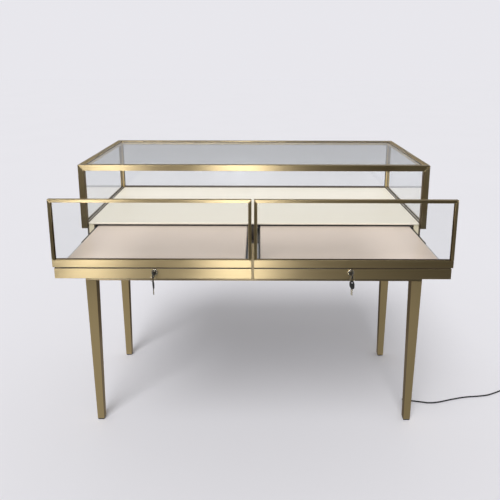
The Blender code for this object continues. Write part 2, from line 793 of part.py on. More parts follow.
# Locks: a barrel in the rail, a plug with its cam, a key, and a spare on a split ring
def lock(side, sign, drawer_body, ring_turn):
    x = sign * LOCK_X
    face = DRAWER_Y - GAP
    turned(
        "lock_body_" + side,
        [
            (PLUG_R + GAP, BEZEL_T),
            (BEZEL_R - BEZEL_ROUND, BEZEL_T),
            (BEZEL_R, BEZEL_T - BEZEL_ROUND),
            (BEZEL_R, 0.0),
            (BARREL_R, 0.0),
            (BARREL_R, -LOCK_RAIL_D - BARREL_BEHIND),
            (PLUG_R + GAP, -LOCK_RAIL_D - BARREL_BEHIND),
        ],
        (x, face, LOCK_Z),
        drawer_body,
        NICKEL,
        closed=True,
    )

    on = body("key_plug_" + side, (x, face, LOCK_Z), drawer_body)
    plug_end = LOCK_RAIL_D + BARREL_BEHIND + GAP
    plug = turned(
        "lock_plug_" + side,
        [
            (0.0, BEZEL_T - PLUG_SINK),
            (PLUG_R, BEZEL_T - PLUG_SINK),
            (PLUG_R, -plug_end - CAM_T / 2),
            (0.0, -plug_end - CAM_T / 2),
        ],
        (x, face, LOCK_Z),
        on,
        NICKEL,
    )
    cam = plate(
        "cam_" + side,
        [rounded(x - CAM_W / 2, LOCK_Z - CAM_W / 2, x + CAM_R, LOCK_Z + CAM_W / 2, CAM_ROUND)],
        CAM_T,
        "XZ",
        (0.0, face + plug_end + CAM_T / 2, 0.0),
        on,
        NICKEL,
    )
    boolean(plug, cam, "UNION")
    keyway = block(
        "keyway_" + side,
        (x - BLADE_T / 2 - GAP, face - 2 * BEZEL_T, LOCK_Z - BLADE_W / 2 - GAP),
        (x + BLADE_T / 2 + GAP, face - BEZEL_T + KEYWAY_L, LOCK_Z + BLADE_W / 2 + GAP),
        on,
        NICKEL,
        edge=0.0,
    )
    boolean(plug, keyway)

    head_back = face - BEZEL_T - KEY_STAND
    tip = face - BEZEL_T + KEYWAY_L - PLUG_SINK
    hole_y = head_back - HEAD_L + HOLE_BACK
    head = rounded(
        head_back - HEAD_L,
        LOCK_Z - HEAD_H / 2,
        head_back,
        LOCK_Z + HEAD_H / 2,
        HEAD_ROUND,
    )
    key = plate(
        "key_" + side,
        [head, circle(hole_y, LOCK_Z, HOLE_R, SMALL_FACETS)],
        HEAD_T,
        "YZ",
        (x, 0.0, 0.0),
        on,
        BLACK,
    )
    blade = block(
        "blade_" + side,
        (x - BLADE_T / 2, head_back - KEY_STAND, LOCK_Z - BLADE_W / 2),
        (x + BLADE_T / 2, tip, LOCK_Z + BLADE_W / 2),
        on,
        NICKEL,
        edge=0.0,
    )
    boolean(key, blade, "UNION")

    hang = LOCK_Z - HOLE_R + RING_WIRE + GAP
    ring_body = body("key_ring_" + side, (x, hole_y, hang), on)
    bpy.ops.mesh.primitive_torus_add(
        major_segments=FACETS,
        minor_segments=WIRE_FACETS,
        major_radius=RING_R,
        minor_radius=RING_WIRE,
    )
    made = bpy.context.object
    mesh = made.data
    mesh.shade_smooth()
    bpy.data.objects.remove(made, do_unlink=True)
    mesh.transform(Matrix.Rotation(ring_turn, 4, "Z") @ Matrix.Rotation(math.radians(90), 4, "X"))
    add("split_ring_" + side, mesh, (x, hole_y, hang - RING_R), ring_body, NICKEL)

    low_wire = hang - 2 * RING_R
    spare_hole = low_wire + RING_WIRE + GAP - HOLE_R
    spare_top = spare_hole + HOLE_BACK
    turn = Matrix.Rotation(ring_turn, 4, "Z")
    spare_mesh = plate_mesh(
        "spare_key_" + side,
        [
            rounded(-HEAD_H / 2, spare_top - HEAD_L, HEAD_H / 2, spare_top, HEAD_ROUND),
            circle(0.0, spare_hole, HOLE_R, SMALL_FACETS),
        ],
        HEAD_T,
        "YZ",
    )
    spare_mesh.transform(turn)
    spare = add("spare_key_" + side, spare_mesh, (x, hole_y, 0.0), ring_body, BLACK)
    shank_top = spare_top - HEAD_L + SHANK_IN
    shank = rectangle(-BLADE_W / 2, spare_top - HEAD_L - SPARE_BLADE_L, BLADE_W / 2, shank_top)
    shank_mesh = plate_mesh("shank_" + side, [shank], BLADE_T, "YZ")
    shank_mesh.transform(turn)
    boolean(spare, add("shank_" + side, shank_mesh, (x, hole_y, 0.0), ring_body, NICKEL), "UNION")


for (side, sign), ring_turn in zip(SIDES, (LEFT_RING_TURN, RIGHT_RING_TURN)):
    lock(side, sign, drawer(side, sign), ring_turn)


# Mains lead: out of the front right leg, along the floor and into a coil with its plug
def smooth(points, step):
    """Points at even steps along a Catmull-Rom curve through the given points."""
    points = [Vector(p) for p in points]
    ends = [2 * points[0] - points[1], *points, 2 * points[-1] - points[-2]]
    fine = []
    for a, b, c, d in zip(ends, ends[1:], ends[2:], ends[3:]):
        for i in range(CURVE_STEPS):
            t = i / CURVE_STEPS
            fine.append(
                0.5
                * (
                    2 * b
                    + (c - a) * t
                    + (2 * a - 5 * b + 4 * c - d) * t**2
                    + (3 * b - a - 3 * c + d) * t**3
                )
            )
    fine.append(points[-1])
    length = sum((q - p).length for p, q in zip(fine, fine[1:]))
    count = max(2, round(length / step))
    spaced, walked, want = [fine[0]], 0.0, length / count
    for p, q in zip(fine, fine[1:]):
        part = (q - p).length
        while part and walked + part >= want * len(spaced) - 1e-9 and len(spaced) < count:
            spaced.append(p.lerp(q, (want * len(spaced) - walked) / part))
        walked += part
    return [*spaced, fine[-1]]


def lead(name, points, sides):
    curve = bpy.data.curves.new(name, "CURVE")
    curve.dimensions = "3D"
    curve.bevel_depth = CORD_D / 2
    curve.bevel_resolution = sides
    curve.use_fill_caps = True
    spline = curve.splines.new("POLY")
    spline.points.add(len(points) - 1)
    for point, place in zip(spline.points, points):
        point.co = (*place, 1.0)
    item = bpy.data.objects.new(name, curve)
    curve.materials.append(BLACK)
    parts.objects.link(item)
    carry(item, "counter")


def coil_points():
    """Spirals in on the floor, climbs one layer in half a turn and spirals out again."""
    total = 2 * COIL_TURNS + CLIMB_TURNS
    points = []
    for i in range(round(total * COIL_POINTS) + 1):
        turns = i / COIL_POINTS
        inward = min(turns, total / 2)
        outward = max(0.0, turns - total / 2)
        radius = COIL_R - COIL_PITCH * (inward - outward)
        rise = min(1.0, max(0.0, (turns - COIL_TURNS) / CLIMB_TURNS))
        height = CORD_Z + COIL_PITCH * rise * rise * (3 - 2 * rise)
        angle = COIL_START - 2 * math.pi * turns
        points.append(
            Vector(
                (
                    COIL_CENTRE[0] + radius * math.cos(angle),
                    COIL_CENTRE[1] + radius * math.sin(angle),
                    height,
                )
            )
        )
    return points


def least_gap(points):
    """The least clear space between turns, measured point to segment, a half turn or more apart."""
    least = math.inf
    for i, point in enumerate(points):
        for j in range(i + COIL_POINTS // 2, len(points) - 1):
            a, b = points[j], points[j + 1]
            along = min(1.0, max(0.0, (point - a).dot(b - a) / (b - a).length_squared))
            least = min(least, (point - a.lerp(b, along)).length)
    return least - CORD_D


leg_half = (LEG_FOOT_W + (LEG_TOP_W - LEG_FOOT_W) * (RELIEF_Z + RELIEF_BASE_R - FOOT_H) / LEG_H) / 2
relief_y = LEG_Y["front"] + leg_half + GAP
turned(
    "strain_relief",
    [
        (0.0, RELIEF_L),
        (RELIEF_TIP_R, RELIEF_L),
        (RELIEF_BASE_R, RELIEF_COLLAR),
        (RELIEF_BASE_R, 0.0),
        (0.0, 0.0),
    ],
    (LEG_X, relief_y, RELIEF_Z),
    "counter",
    BLACK,
    turn=Matrix.Rotation(math.radians(-90), 4, "X"),
)

exit_y = relief_y + RELIEF_L + GAP
coil = coil_points()
coil_heading = (coil[1] - coil[0]).normalized()
start = Vector((LEG_X, exit_y, RELIEF_Z))
stop = coil[0] - coil_heading * GAP
free_run = [start + Vector((0.0, CORD_D, 0.0)), *CORD_ROUTE, stop - coil_heading * CORD_D]
route_points = [start, *smooth(free_run, CORD_STEP), stop]
for place in route_points:
    place.z = max(place.z, CORD_Z)
lead("power_cord", route_points, 2)

tail_heading = (coil[-1] - coil[-2]).normalized()
tail_heading.z = 0.0
tail = [coil[-1] + tail_heading * TAIL_L * share for share in (0.5, 1.0)]
for place, share in zip(tail, (0.5, 1.0)):
    place.z += (PLUG_T / 2 - place.z) * share
wound = [*coil, *tail]
lead("power_cord_coil", wound, 1)
print(f"coil: least gap to itself {1000 * least_gap(wound):.2f} mm")
length = sum((q - p).length for path in (route_points, wound) for p, q in zip(path, path[1:]))
print(f"lead: {length:.3f} m from strain relief to plug")

plug_at = tail[-1] + tail_heading * GAP
across = Vector((-tail_heading.y, tail_heading.x, 0.0))
plug_outline = [
    (0.0, -PLUG_NECK_W / 2),
    (PLUG_TAPER, -PLUG_W / 2),
    (PLUG_L, -PLUG_W / 2),
    (PLUG_L, PLUG_W / 2),
    (PLUG_TAPER, PLUG_W / 2),
    (0.0, PLUG_NECK_W / 2),
]
plug_outline = [tuple((tail_heading * u + across * v)[:2]) for u, v in plug_outline]
mains_plug = plate("power_plug", [plug_outline], PLUG_T - 2 * GAP, "XY", plug_at, "counter", BLACK)
for i, shift in enumerate((-PIN_SPACING / 2, PIN_SPACING / 2)):
    mesh = bpy.data.meshes.new(f"pin_{i}")
    work = bmesh.new()
    bmesh.ops.create_cone(
        work,
        cap_ends=True,
        segments=SMALL_FACETS,
        radius1=PIN_R,
        radius2=PIN_R,
        depth=PIN_L + PIN_R,
        matrix=Vector((0, 0, 1)).rotation_difference(tail_heading).to_matrix().to_4x4(),
    )
    work.to_mesh(mesh)
    work.free()
    middle = plug_at + tail_heading * (PLUG_L + (PIN_L - PIN_R) / 2) + across * shift
    boolean(mains_plug, add(f"pin_{i}", mesh, middle, "counter", NICKEL), "UNION")
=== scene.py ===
# %% [markdown]
# # A jewellery counter with two show drawers
#
# The counter stands on four tapered legs. A glass case in a frame of brushed gold tube sits over
# two glazed drawers, which run out on telescopic slides and lock with a key. Its solids were built
# first, at their real size, and are loaded here as a fixed frame. This lesson gives each of them
# its finish and adds what plain solids leave out: broken edges, rolled pads, seals, milled keys and
# a lead in one length.

# %% Load the frame
import math

import bmesh
import bpy
from mathutils import Matrix, Vector


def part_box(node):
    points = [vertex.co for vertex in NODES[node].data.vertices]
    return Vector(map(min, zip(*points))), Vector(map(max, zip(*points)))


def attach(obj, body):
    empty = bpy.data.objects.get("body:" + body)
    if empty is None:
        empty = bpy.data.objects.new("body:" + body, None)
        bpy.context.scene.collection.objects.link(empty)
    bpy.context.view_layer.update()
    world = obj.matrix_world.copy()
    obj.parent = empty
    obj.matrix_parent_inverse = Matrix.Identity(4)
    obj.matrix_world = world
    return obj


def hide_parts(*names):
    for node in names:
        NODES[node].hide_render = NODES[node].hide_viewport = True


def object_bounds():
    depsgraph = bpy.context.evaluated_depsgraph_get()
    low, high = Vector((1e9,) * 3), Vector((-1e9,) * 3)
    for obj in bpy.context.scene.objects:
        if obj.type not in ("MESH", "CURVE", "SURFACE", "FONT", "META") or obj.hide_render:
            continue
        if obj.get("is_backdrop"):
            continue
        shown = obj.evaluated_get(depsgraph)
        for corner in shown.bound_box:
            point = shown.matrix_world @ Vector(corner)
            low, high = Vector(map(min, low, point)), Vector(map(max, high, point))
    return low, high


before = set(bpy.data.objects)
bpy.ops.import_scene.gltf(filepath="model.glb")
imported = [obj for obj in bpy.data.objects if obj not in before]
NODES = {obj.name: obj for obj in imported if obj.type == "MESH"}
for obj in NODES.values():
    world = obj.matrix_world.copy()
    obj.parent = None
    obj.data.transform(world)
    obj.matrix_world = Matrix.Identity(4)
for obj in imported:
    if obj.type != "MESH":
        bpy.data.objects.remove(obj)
CAD_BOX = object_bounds()
SIDES = {"left": -1, "right": 1}   # with the sign of X

# %% [markdown]
# ## The camera
#
# The photograph was taken from just above the case, a little under two metres off. Its lens axis
# lies above the middle of the picture, which is what a crop from a taller picture looks like. A
# camera could be aimed by eye, but the rails' straight edges give its place, tilt and focal length
# exactly, so those are written down here. The lens shift moves the axis to where it was.

# %% Camera
PICTURE = 500.0                  # pixels on each side
FOCAL = 535.63                   # focal length in pixels
LENS_AXIS = (257.29, 174.44)     # where the axis meets the picture, from its top left corner
CAMERA_AT = Vector((0.0158, -1.8681, 1.3529))
PITCH, YAW, ROLL = math.radians(12.470), math.radians(-0.126), math.radians(0.104)
SENSOR = 36.0

lens = bpy.data.cameras.new("camera")
lens.sensor_width = SENSOR
lens.lens = SENSOR * FOCAL / PICTURE
lens.shift_x = 0.5 - LENS_AXIS[0] / PICTURE
lens.shift_y = LENS_AXIS[1] / PICTURE - 0.5
camera = bpy.data.objects.new("camera", lens)
bpy.context.scene.collection.objects.link(camera)
camera.matrix_world = (
    Matrix.Translation(CAMERA_AT)
    @ Matrix.Rotation(-YAW, 4, "Z")
    @ Matrix.Rotation(math.radians(90) - PITCH, 4, "X")
    @ Matrix.Rotation(ROLL, 4, "Z")
)
bpy.context.scene.camera = camera
bpy.context.scene.view_settings.view_transform = "Standard"
print(f"lens {lens.lens:.2f} mm, shift {lens.shift_x:.4f}, {lens.shift_y:.4f}")

# %% [markdown]
# ## The lead's line
#
# A mains lead has a fixed length, here 1.8 m. It leaves the front right leg through a strain
# relief, drops to the floor, wanders off to the right in slow curves and is wound up in a neat coil
# past the edge of the picture. A simulated rope would land somewhere else each time, so the free
# run is a smooth curve through listed points. They are the points of the lead's solid, with
# the first six moved a few millimetres to where the leg hides them. The coil is a formula: it
# spirals in on the floor, climbs one layer in half a turn and spirals out on top of itself.

# %% The lead's line
CORD_D = 0.005
CORD_GAP = 0.0003                # over the floor and at both ends
CORD_Z = CORD_D / 2 + CORD_GAP
CORD_STEP = 0.005                # between points of the free run
COIL_PITCH = 0.0056
COIL_R = 0.0386                  # of the outermost turn
COIL_TURNS = 2.875               # in each layer
CLIMB_TURNS = 0.5
COIL_POINTS = 48                 # to a turn
COIL_CENTRE = Vector((1.108, 0.100, 0.0))
TAIL_L = 0.022                   # from the coil down to the plug
TAIL_SHARES = (0.25, 0.5, 0.75, 1.0)
PLUG_T = 0.0136
CORD_ROUTE = (
    (0.5827, -0.0087, 0.0411),
    (0.5866, 0.0076, 0.0311),
    (0.5914, 0.0206, 0.0181),
    (0.5986, 0.0313, 0.0082),
    (0.6109, 0.0381, CORD_Z),
    (0.6315, 0.0372, CORD_Z),
    (0.6742, 0.0285, CORD_Z),
    (0.6986, 0.0245, CORD_Z),
    (0.7359, 0.0285, CORD_Z),
    (0.8044, 0.0490, CORD_Z),
    (0.8605, 0.0620, CORD_Z),
    (0.9149, 0.0685, CORD_Z),
    (0.9593, 0.0780, CORD_Z),
    (1.0184, 0.1050, CORD_Z),
    (1.0580, 0.1265, CORD_Z),
)


def smooth(points, step):
    """Points about a step apart on a Catmull-Rom curve through the given points."""
    ends = [2 * points[0] - points[1], *points, 2 * points[-1] - points[-2]]
    line = []
    for a, b, c, d in zip(ends, ends[1:], ends[2:], ends[3:]):
        count = max(2, round((c - b).length / step))
        for t in (i / count for i in range(count)):
            bend = (2 * a - 5 * b + 4 * c - d) * t**2 + (3 * b - a - 3 * c + d) * t**3
            line.append(0.5 * (2 * b + (c - a) * t + bend))
    return [*line, points[-1]]


def coil_line():
    """In on the floor, up a layer where the spiral turns back, and out again."""
    total = 2 * COIL_TURNS + CLIMB_TURNS
    line = []
    for i in range(round(total * COIL_POINTS) + 1):
        turns = i / COIL_POINTS
        radius = COIL_R - COIL_PITCH * (total / 2 - abs(turns - total / 2))
        rise = min(1.0, max(0.0, (turns - COIL_TURNS) / CLIMB_TURNS))
        angle = math.radians(90 - 360 * turns)
        round_it = Vector((radius * math.cos(angle), radius * math.sin(angle), 0.0))
        height = CORD_Z + COIL_PITCH * rise * rise * (3 - 2 * rise)
        line.append(COIL_CENTRE + round_it + Vector((0.0, 0.0, height)))
    return line


relief_low, relief_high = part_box("strain_relief")
CORD_EXIT = Vector(
    (
        (relief_low.x + relief_high.x) / 2,
        relief_high.y + CORD_GAP,
        (relief_low.z + relief_high.z) / 2,
    )
)
coil = coil_line()
into_coil = (coil[1] - coil[0]).normalized()
free_run = [CORD_EXIT + Vector((0.0, CORD_D, 0.0)), *map(Vector, CORD_ROUTE)]
free_run = [CORD_EXIT, *smooth([*free_run, coil[0] - into_coil * CORD_D], CORD_STEP)]
for point in free_run:
    point.z = max(point.z, CORD_Z)
off_coil = (coil[-1] - coil[-2]).normalized()
off_coil.z = 0.0
tail = [coil[-1] + off_coil * TAIL_L * share for share in TAIL_SHARES]
for point, share in zip(tail, TAIL_SHARES):
    point.z += (PLUG_T / 2 - point.z) * share
LEAD_LINE = [*free_run, *coil, *tail]
LEAD_LENGTH = sum((q - p).length for p, q in zip(LEAD_LINE, LEAD_LINE[1:]))
print(f"lead: {LEAD_LENGTH:.3f} m in {len(LEAD_LINE)} points")

# %% [markdown]
# ## Writing shader sums
#
# A finish in Blender is a web of nodes. Placing each Math node by hand hides the idea, so one small
# class holds a node's output and lets Python's own signs do the sums: `1 - mask` adds a Subtract
# node. Every other node comes from its `node` method, which takes the node's type, its settings,
# and then what goes into its sockets.


# %% Sockets that can be added and multiplied
class Socket:
    """One output of a finish's nodes."""

    def __init__(self, output):
        self.output = output

    def node(self, kind, settings=None, inputs=None, output=0):
        """A new node in the same finish: its type, its settings, then its sockets."""
        made = self.output.id_data.nodes.new(kind)
        for name, setting in (settings or {}).items():
            setattr(made, name, setting)
        for name, given in (inputs or {}).items():
            plug_in(made.inputs[name], given)
        return Socket(made.outputs[output])

    def sum(self, operation, first, second=0.0):
        return self.node("ShaderNodeMath", {"operation": operation}, {0: first, 1: second})

    def __add__(self, other):
        return self.sum("ADD", self, other)

    def __sub__(self, other):
        return self.sum("SUBTRACT", self, other)

    def __rsub__(self, other):
        return self.sum("SUBTRACT", other, self)

    def __mul__(self, other):
        return self.sum("MULTIPLY", self, other)

    def __gt__(self, other):
        return self.sum("GREATER_THAN", self, other)

    def __lt__(self, other):
        return self.sum("LESS_THAN", self, other)

    def __abs__(self):
        return self.sum("ABSOLUTE", self)

    __radd__ = __add__
    __rmul__ = __mul__

    def mix(self, low, high):
        """A colour between low and high, by this share."""
        inputs = {0: self, 6: low, 7: high}
        return self.node("ShaderNodeMix", {"data_type": "RGBA"}, inputs, output=2)

    def part(self, axis):
        """One of the three numbers of a place."""
        return self.node("ShaderNodeSeparateXYZ", None, {0: self}, output=axis)

    def fade(self, low, high):
        """0 below low, 1 above high and smooth between."""
        settings = {"interpolation_type": "SMOOTHSTEP"}
        limits = {"Value": self, "From Min": low, "From Max": high}
        return self.node("ShaderNodeMapRange", settings, limits)


def plug_in(socket, given):
    """Links a Socket to a node's input, or sets the input's own value."""
    if isinstance(given, Socket):
        socket.id_data.links.new(given.output, socket)
    else:
        socket.default_value = given


def place_in(nodes):
    """The place of each point in the counter's own frame."""
    return Socket(nodes.new("ShaderNodeTexCoord").outputs["Object"])


def new_finish(name):
    """A material, its shader, and the place of each point."""
    material = bpy.data.materials.new(name)
    material.use_nodes = True
    nodes = material.node_tree.nodes
    return material, nodes["Principled BSDF"], place_in(nodes)


def feed(shader, inputs):
    for name, given in inputs.items():
        plug_in(shader.inputs[name], given)


def plain_finish(name, sockets, metallic=0.0):
    """A finish from a function that gives, for a place, what goes into the shader."""
    material, shader, place = new_finish(name)
    feed(shader, {"Metallic": metallic, **sockets(place)})
    return material


def noise(place, size, detail=2.0):
    """Noise in patches of the given length, width and height, in metres."""
    shrunk = place.node("ShaderNodeVectorMath", {"operation": "DIVIDE"}, {0: place, 1: size})
    return shrunk.node("ShaderNodeTexNoise", None, {"Vector": shrunk, "Scale": 1.0, "Detail": detail})


def relief(height, depth, strength=1.0):
    """Bump that is depth metres from its lowest to its highest point."""
    inputs = {"Height": height, "Distance": depth, "Strength": strength}
    return height.node("ShaderNodeBump", None, inputs)


def grain(place, colours, patch, detail, gloss, bump):
    """One noise as tone, gloss (the least, and what the noise adds) and bump (depth and strength)."""
    tone = noise(place, patch, detail)
    return {
        "Base Color": tone.mix(*colours),
        "Roughness": gloss[0] + gloss[1] * tone,
        "Normal": relief(tone, *bump),
    }


def facing(place):
    """The direction in which the surface looks."""
    return place.node("ShaderNodeTexCoord", output="Normal")


def rgb(red, green, blue):
    return (red, green, blue, 1.0)


def grey(level):
    return rgb(level, level, level)


print("shader sums ready")

# %% [markdown]
# ## The studio
#
# The counter stands on a plain pale floor. The light comes from above the viewer's left shoulder, so
# its shadow falls away behind the legs. A large lamp would light the near floor more than the far
# floor, so a wide sun is used instead: it is even everywhere and its shadows are soft. Light from
# all round fills them. The backdrop is the world itself, pale to the camera and through glass.

# %% Floor, world and lamp
FLOOR_SPAN = 60.0
FLOOR_DROP = 0.0002
FLOOR_TONES = (rgb(0.80, 0.793, 0.833), rgb(0.82, 0.813, 0.853))
FLOOR_PATCH = (0.9, 0.9, 0.9)
BACKDROP = rgb(0.807, 0.800, 0.842)
FILL = 0.52                      # light from all round
SUN = 2.00
SUN_SPREAD = math.radians(32)
SUN_TURN = (math.radians(40), math.radians(-14), 0.0)


def floor_sockets(place):
    tone = noise(place, FLOOR_PATCH).mix(*FLOOR_TONES)
    return {"Base Color": tone, "Roughness": 0.75, "Specular IOR Level": 0.0}


def stage_sheet(name, width, depth, place, material):
    """A flat sheet that belongs to the studio and not to the counter."""
    mesh = bpy.data.meshes.new(name)
    work = bmesh.new()
    size = Matrix.Diagonal((width / 2, depth / 2, 1.0, 1.0))
    bmesh.ops.create_grid(work, x_segments=1, y_segments=1, size=1.0, matrix=place @ size)
    work.to_mesh(mesh)
    work.free()
    sheet = bpy.data.objects.new(name, mesh)
    sheet.data.materials.append(material)
    bpy.context.scene.collection.objects.link(sheet)
    sheet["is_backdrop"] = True
    return sheet


def pale_world():
    world = bpy.data.worlds.new("studio")
    world.use_nodes = True
    nodes = world.node_tree.nodes
    fill = nodes["Background"]
    feed(fill, {"Color": grey(1.0), "Strength": FILL})
    path = nodes.new("ShaderNodeLightPath")
    kinds = [Socket(path.outputs[f"Is {kind} Ray"]) for kind in ("Camera", "Glossy", "Transmission")]
    shown = kinds[0] + kinds[1] + kinds[2]
    backdrop = shown.node("ShaderNodeBackground", None, {"Color": BACKDROP, "Strength": 1.0})
    light = Socket(fill.outputs[0])
    both = shown.node("ShaderNodeMixShader", None, {0: shown, 1: light, 2: backdrop})
    plug_in(nodes["World Output"].inputs["Surface"], both)
    return world


pale_floor = plain_finish("pale_floor", floor_sockets)
stage_sheet("floor", FLOOR_SPAN, FLOOR_SPAN, Matrix.Translation((0, 0, -FLOOR_DROP)), pale_floor)
bpy.context.scene.world = pale_world()
sun = bpy.data.lights.new("soft_sun", "SUN")
sun.energy = SUN
sun.angle = SUN_SPREAD
lamp = bpy.data.objects.new("soft_sun", sun)
lamp.rotation_euler = SUN_TURN
lamp.visible_glossy = False
bpy.context.scene.collection.objects.link(lamp)
print(f"fill {FILL}, sun {SUN} over {math.degrees(SUN_SPREAD):.0f} degrees")

# %% [markdown]
# ## Cards for the metal
#
# Metal shows its surroundings and little else. In the photograph the rails run from bright at the
# left to dark at the right, because what they face is bright on one side and dim on the other. A
# photographer gets this with cards. Two are tall and bright, the left one stronger, and a low one
# behind the counter lights its back. The rest is dark cloth, in front, behind and on the floor: the
# front cloth is darkest at the right, as the rails are, and the near cloth is paler close to the
# counter and at its left, which the legs show. Cards here are seen in reflections alone, so they
# light nothing else.

# %% Cards
UPRIGHT = Matrix.Rotation(math.radians(90), 4, "X")
CARD_STEP = 0.002                # from a cloth to a card before it


def card(name, across, rise, place, tone):
    """A glowing sheet of two spans, set in a place, that only shows in reflections."""
    material = bpy.data.materials.new(name)
    material.use_nodes = True
    nodes = material.node_tree.nodes
    nodes.remove(nodes["Principled BSDF"])
    glow = nodes.new("ShaderNodeEmission")
    plug_in(glow.inputs["Color"], tone(place_in(nodes)) if callable(tone) else tone)
    plug_in(nodes["Material Output"].inputs["Surface"], Socket(glow.outputs[0]))
    middle = Matrix.Translation((sum(across) / 2, sum(rise) / 2, 0.0))
    sheet = stage_sheet(name, across[1] - across[0], rise[1] - rise[0], place @ middle, material)
    sheet.visible_camera = False
    sheet.visible_diffuse = False
    sheet.visible_transmission = False
    sheet.visible_shadow = False


print("a card shows to glossy rays alone")

# %% Cloths
FRONT_Y, BACK_Y = -3.4, 3.6
NEAR_STOP, FAR_START = 0.36, 0.50   # Y where the cloths on the floor stop and start
WIDE = (-6.0, 6.0)
FRONT_TOP, LOW_BACK_TOP, BACK_TOP = 7.0, 1.5, 6.0
BACK_CLOTH, LOW_BACK_CLOTH, FAR_CLOTH = grey(0.30), grey(0.04), grey(0.08)
FRONT_TONES = (grey(0.18), grey(0.0))
FRONT_FADE = (0.85, 1.5)         # X over which the front cloth darkens
NEAR_TONES = (grey(0.05), grey(0.46))
NEAR_FADE = (-2.5, -0.7)         # Y over which the near cloth turns pale
LEFT_FADE = (-0.3, 0.7)          # X over which it loses some of that
LEFT_LOSS = 0.35


def front_cloth(place):
    """Dark, and darkest at the right."""
    return place.part(0).fade(*FRONT_FADE).mix(*FRONT_TONES)


def near_cloth(place):
    """Dark, and paler near the counter and to its left."""
    near = place.part(1).fade(*NEAR_FADE)
    left = 1 - LEFT_LOSS * place.part(0).fade(*LEFT_FADE)
    return (near * left).mix(*NEAR_TONES)


before = Matrix.Translation((0.0, FRONT_Y, 0.0)) @ UPRIGHT
behind = Matrix.Translation((0.0, BACK_Y, 0.0)) @ UPRIGHT
on_floor = Matrix.Translation((0.0, 0.0, CARD_STEP))
card("front_cloth", WIDE, (0.0, FRONT_TOP), before, front_cloth)
card("back_cloth", WIDE, (LOW_BACK_TOP, BACK_TOP), behind, BACK_CLOTH)
card("low_back_cloth", WIDE, (0.0, LOW_BACK_TOP), behind, LOW_BACK_CLOTH)
card("near_cloth", WIDE, (FRONT_Y, NEAR_STOP), on_floor, near_cloth)
card("far_cloth", WIDE, (FAR_START, BACK_Y), on_floor, FAR_CLOTH)
print("five cloths up")

# %% Bright cards
LEFT_WINDOW, MIDDLE_WINDOW = (-1.60, -1.32), (-0.42, 0.10)
WINDOW_RISE, GLOW_RISE = (0.85, 4.4), (0.50, 1.30)
DAYLIGHT = rgb(8.8, 9.1, 10.1)
STRONG_DAYLIGHT = rgb(12.6, 13.0, 14.4)
REAR_GLOW = grey(2.8)

before = Matrix.Translation((0.0, CARD_STEP, 0.0)) @ before
behind = Matrix.Translation((0.0, -CARD_STEP, 0.0)) @ behind
card("left_window", LEFT_WINDOW, WINDOW_RISE, before, STRONG_DAYLIGHT)
card("middle_window", MIDDLE_WINDOW, WINDOW_RISE, before, DAYLIGHT)
card("rear_glow", WIDE, GLOW_RISE, behind, REAR_GLOW)
print("three bright cards up")

# %% [markdown]
# ## Brushed gold
#
# The frame is steel tube and sheet with a gold coat over a hairline finish: fine scratches that run
# along each member. Across the scratches the metal scatters light widely, along them hardly at
# all, which is why each rail holds one smooth gradient from end to end. The shader's anisotropy
# does that. Its own direction is level on upright faces, so members with scratches that run level
# turn it a quarter. Long, thin noise adds the scratches themselves, in tone, gloss and relief.
# Faces that look up are painted a deeper tone: painted shade for the dim room that they reflect.
# Some members change tone at a line, so the finish also takes marks: a mask, the tone there, and
# whether the metal stops.

# %% Brushed gold
GOLD = (rgb(0.575, 0.430, 0.205), rgb(0.690, 0.545, 0.300))
SCRATCH = (0.070, 0.0004)        # length and width of a scratch
CLOUD = (0.900, 0.060)           # length and width of a slow change of tone
SCRATCH_SHARE = 0.75             # of the tone; the rest is cloud
SCRATCH_DEPTH, SCRATCH_BUMP = 0.00003, 0.04
GLOSS = (0.335, 0.05)            # least roughness, and what the tone adds to it
LEVEL, STANDING = 0.25, 0.0      # how far the scatter is turned
LOOKS_UP = 0.7                   # least Z of the normal of a face that looks up
UPWARD_SHADE = 0.70                     # share of the tone that such a face keeps, as painted shade


def along(axis, size):
    """A patch that is long on one axis, 0 for X to 2 for Z, and narrow on the others."""
    return tuple(size[0] if i == axis else size[1] for i in range(3))


def gold_sockets(place, axis, colours=GOLD):
    scratches = noise(place, along(axis, SCRATCH), detail=4.0)
    cloud = noise(place, along(axis, CLOUD))
    tone = SCRATCH_SHARE * scratches + (1 - SCRATCH_SHARE) * cloud
    # painted shade: faces that look up get a deeper tone, for the dim room that they reflect
    shaded_up_faces = facing(place).part(2) > LOOKS_UP
    painted_shade_tones = [rgb(*(UPWARD_SHADE * part for part in colour[:3])) for colour in colours]
    return {
        "Base Color": shaded_up_faces.mix(tone.mix(*colours), tone.mix(*painted_shade_tones)),
        "Roughness": GLOSS[0] + GLOSS[1] * tone,
        "Normal": relief(scratches, SCRATCH_DEPTH, SCRATCH_BUMP),
    }


def brushed_gold(name, axis, turn, colours=GOLD, marks=None):
    """Gold brushed along an axis; marks gives, for a place, masks, their tones and if they are bare."""
    material, shader, place = new_finish(name)
    sockets = gold_sockets(place, axis, colours)
    sockets["Metallic"] = 1.0
    for mask, tone, bare in marks(place) if marks else ():
        sockets["Base Color"] = mask.mix(sockets["Base Color"], tone)
        if bare:
            sockets["Metallic"] = 1 - mask
    feed(shader, {**sockets, "Anisotropic": 1.0, "Anisotropic Rotation": turn})
    return material


GOLD_X = brushed_gold("brushed_gold_along", 0, LEVEL)
GOLD_Y = brushed_gold("brushed_gold_across", 1, LEVEL)
GOLD_Z = brushed_gold("brushed_gold_upright", 2, STANDING)
print("brushed gold in three directions")

# %% [markdown]
# ## Paler gold, painted shade and bronze
#
# Not every member has the same coat. The stiles and the front posts are paler, the panel under the
# drawers is a dim bronze as painted shade for the drawers over it, and the beads behind the
# drawers' panes are nearly brown. They are brushed in the same way, so only the two colours change.

# %% Paler gold, painted shade and bronze
PALE_GOLD = (rgb(0.740, 0.560, 0.275), rgb(0.860, 0.685, 0.385))
